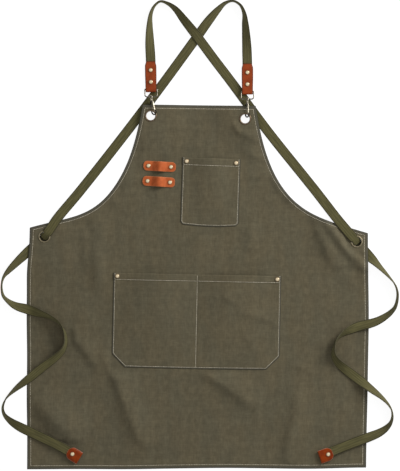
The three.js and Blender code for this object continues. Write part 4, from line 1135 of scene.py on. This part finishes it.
for name, (node, level, tone) in eyelets.items():
    (points, faces), edge = eyeletSkin(level)
    x, y = eyeletPlaces[name]
    skin = (points + np.array([x, y, 0]), faces)
    addPiece("eyelet" + name[0].upper() + name[1:], skin, metal[tone], [node], edge=edge, shade=50)
print("rivets and eyelets set")


# bent wire
def wireSkin(line, radius, sides=14, loop=False):
    # a circle carried along a line, kept upright by the line's own plane
    ahead = unit(np.roll(line, -1, 0) - np.roll(line, 1, 0)) if loop else tangents(line)
    flat = np.linalg.svd(line - line.mean(0))[2][2]
    out = np.cross(ahead, flat)
    cosines, sines = circle(sides)
    radius = np.broadcast_to(radius, len(line))[:, None, None]
    spokes = out[:, None] * cosines[None, :, None] + flat * sines[None, :, None]
    return ringSkin(line[:, None] + radius * spokes, loop)


ring = dict(at=-57.5, inside=23.0, wire=1.25, reach=16.0, corner=4.0, topCorner=1.6)


def ringPoints(length):
    # a rounded rectangle, sharp-cornered where it sits in the leather
    half, far, near = ring["inside"] / 2 + ring["wire"], ring["corner"], ring["topCorner"]

    def corner(cx, cy, radius, start):
        turn = np.radians(np.linspace(start, start + 90, 9))
        return np.stack([cx + radius * np.cos(turn), cy + radius * np.sin(turn), 0 * turn], -1)

    sides = np.linspace(0, 1, 14)[1:-1, None]
    corners = [corner(half - near, -near, near, 0), corner(-half + near, -near, near, 90),
               corner(-half + far, -length + far, far, 180), corner(half - far, -length + far, far, 270)]
    runs = []
    for here, ahead in zip(corners, corners[1:] + corners[:1]):
        runs += [here, here[-1] + (ahead[0] - here[-1]) * sides]
    return np.vstack(runs)


# snap hooks: eye, swivel neck, bent wire and cheeks; drawn with the eye at the origin and the bend down -y
hook = dict(eye=3.5, eyeWire=1.2, wire=1.45, bend=8.0, bendAt=29.5, bendReach=6.8, noseBack=3.0,
            noseSlope=30.0, noseTip=0.15, pivotAt=9.5, pivotUp=2.6, cheek=2.3, cheekThick=1.0,
            cheekBevel=0.15, pin=0.7, pinPole=0.1, pinOver=0.4, gateWidth=2.9, gateTaper=0.12, gateTo=30.6,
            gateTipUp=5.9, slack=0.85)
hookSpine = [  # x, y, z from the neck down to where the bend starts
    (0, -7.5, -1), (0, -9, -4.4), (0, -11.5, -6.8), (0, -16, -7.8), (0, -24, -hook["bend"]),
]
neckProfile = [  # radius, distance from the eye
    (pole, 3.6), (1.7, 3.7), (2.1, 4.3), (2.1, 5.6), (1.5, 6.0), (1.5, 6.5), (2.0, 6.9), (2.2, 7.6),
    (2.0, 8.6), (1.5, 9.0), (pole, 9.1),
]
gateStart = [-1.75, -1.6, -1.2, -0.4]  # stops round the pivot
gateTall = [  # distance past the pivot, height
    (-1.75, 0.5), (-1.6, 1.3), (-1.2, 2.6), (-0.4, 3.6), (0.8, 3.7), (3, 3.0), (20.5, 1.7),
]
gateTop = [  # distance past the pivot, height of the upper side over it
    (-1.75, 0.4), (-0.4, 1.9), (3, 2.1), (20.5, hook["gateTipUp"] - hook["pivotUp"]),
]


def onPivot(profile, sides, way=1):
    # a turned piece laid across the hook with its axis through the gate's pivot
    points, faces = lathe(profile, sides)
    y, z = points[:, 0] - hook["pivotAt"], points[:, 1] + hook["pivotUp"]
    return np.stack([way * points[:, 2], y, z], -1), faces


def hookSkin():
    # wire along a smooth line down from the neck, round half an ellipse and back to the nose, with turned
    # cheeks and pin; apart from that a wire eye with a turned neck
    turn = np.radians(np.arange(-90, 91, 30))
    away = hook["bendAt"] + hook["bendReach"] * np.cos(turn)
    bend = np.stack([0 * turn, -away, hook["bend"] * np.sin(turn)], -1)
    nose = [(0, -(hook["bendAt"] - hook["noseBack"]), hook["bend"])]
    line = smoothLine(np.vstack([hookSpine, bend, nose]), 8)
    fromNose = np.linspace(1, 0, len(line))
    swell = hook["wire"] * np.sqrt(np.clip(fromNose * hook["noseSlope"] + hook["noseTip"], 0, 1))
    half = hook["gateWidth"] / 2 + clearance
    far, rim, bevel = half + hook["cheekThick"], hook["cheek"], hook["cheekBevel"]
    cheek = [(pole, half), (rim - bevel, half), (rim, half + bevel), (rim, far - bevel), (rim - bevel, far),
             (pole, far)]
    pinPole, pin, pinEnd = hook["pinPole"], hook["pin"], half + hook["pinOver"]
    pinProfile = [(pinPole, -pinEnd), (pin, -pinEnd), (pin, pinEnd), (pinPole, pinEnd)]
    onPin = [onPivot(cheek, 24, -1), onPivot(cheek, 24), onPivot(pinProfile, 14)]
    bent = joinSkins([wireSkin(line, swell), *onPin])
    cosines, sines = circle(40)
    eye = np.stack([0 * cosines, hook["eye"] * cosines, hook["eye"] * sines], -1)
    neck, neckFaces = lathe(neckProfile, 20)
    neck = np.stack([neck[:, 0], -neck[:, 2], neck[:, 1]], -1)
    return bent, joinSkins([wireSkin(eye, hook["eyeWire"], loop=True), (neck, neckFaces)])


def gateSkin():
    # a bar with rounded long edges from the pivot to just under the nose, thicker at the pivot
    reach = hook["gateTo"] - hook["pivotAt"]
    along = np.append(gateStart, np.linspace(0.8, reach, 16))
    tall, top = (np.interp(along, *np.transpose(rows)) for rows in (gateTall, gateTop))
    a, b = (squared(wave, 0.5) for wave in circle(16))
    wide = hook["gateWidth"] / 2 * (1 - hook["gateTaper"] * np.clip(along / reach, 0, 1))
    y = np.broadcast_to(-hook["pivotAt"] - along[:, None], (len(along), len(a)))
    z = hook["pivotUp"] + (top - tall / 2)[:, None] + b * tall[:, None] / 2
    return ringSkin(np.stack([a * wide[:, None], y, z], -1))


def hookPlace(points, place, eyeLevel):
    # roll about y, yaw about z, then from the tab's top to where the eye hangs
    turn = turnAbout("z", math.radians(place["hookYaw"])) @ turnAbout("y", math.radians(place["hookRoll"]))
    eyeAt = np.array([0, ring["at"] - ring["reach"] - hook["slack"], eyeLevel])
    return turnedPlace(points @ turn.T + eyeAt, place["x"], place["y"], place["turn"])


for side, place in tabs.items():
    roll = math.radians(place["hookRoll"])
    eyeLevel = strapShape["thick"] + clearance + hook["wire"] + hook["bend"] * math.cos(roll)
    climb = eyeLevel - ringLevel
    points, faces = wireSkin(ringPoints(math.hypot(ring["reach"], climb)), ring["wire"], loop=True)
    tilt = turnAbout("x", -math.atan2(climb, ring["reach"]))
    points = points @ tilt.T + np.array([0, ring["at"], ringLevel])
    points = turnedPlace(points, place["x"], place["y"], place["turn"])
    title = side.capitalize()
    addPiece("ring" + title, (points, faces), metal["ringSteel"], ["ring_" + side], shade=60)
    bent, swivel = hookSkin()
    # the hook body takes the steel's copy painted with shade; the swivel and gate take its copy painted with
    # light
    hung = [("hook", bent, "hookSteel", ["hook_" + side], mainBody),
            ("swivel", swivel, "gateSteel", [], mainBody),
            ("gate", gateSkin(), "gateSteel", ["gate_" + side], "gate_" + side)]
    for name, (points, faces), tone, nodes, body in hung:
        skin = (hookPlace(points, place, eyeLevel), faces)
        addPiece(name + title, skin, metal[tone], nodes, body=body, shade=45)
print("rings and hooks hung")

# floor and light
stageSetup = dict(floorSize=60.0, floorDrop=0.0003, floorTone=(0.20, 0.20, 0.20), floorGlow=0.90, world=0.56,
                  keyPower=98.0, keySize=1.35, keyPlace=(2.3, 1.55, 1.5))


def addLight(name, power, size, place):
    data = bpy.data.lights.new(name, "AREA")
    data.energy, data.size = power, size
    light = bpy.data.objects.new(name, data)
    light.location = place
    reach = math.hypot(place[0], place[1])
    light.rotation_euler = (0, math.atan2(reach, place[2]), math.atan2(place[1], place[0]))
    bpy.context.scene.collection.objects.link(light)


def setStage(setup):
    half, drop = setup["floorSize"] / 2, setup["floorDrop"]
    mesh = bpy.data.meshes.new("floor")
    corners = [(-half, -half, -drop), (half, -half, -drop), (half, half, -drop), (-half, half, -drop)]
    mesh.from_pydata(corners, [], [(0, 1, 2, 3)])
    material, _, shader = newMaterial("paleFloor", 0.9, specular=0.1)
    shader.inputs["Base Color"].default_value = (*setup["floorTone"], 1)
    shader.inputs["Emission Color"].default_value = (1, 1, 1, 1)
    shader.inputs["Emission Strength"].default_value = setup["floorGlow"]
    mesh.materials.append(material)
    floor = bpy.data.objects.new("floor", mesh)
    bpy.context.scene.collection.objects.link(floor)
    world = bpy.data.worlds.new("studio")
    world.use_nodes = True
    world.node_tree.nodes["Background"].inputs["Strength"].default_value = setup["world"]
    world.node_tree.nodes["Background"].inputs["Color"].default_value = (1, 1, 1, 1)
    bpy.context.scene.world = world
    addLight("keyLight", setup["keyPower"], setup["keySize"], setup["keyPlace"])
    bpy.context.scene.view_settings.view_transform = "Standard"


setStage(stageSetup)
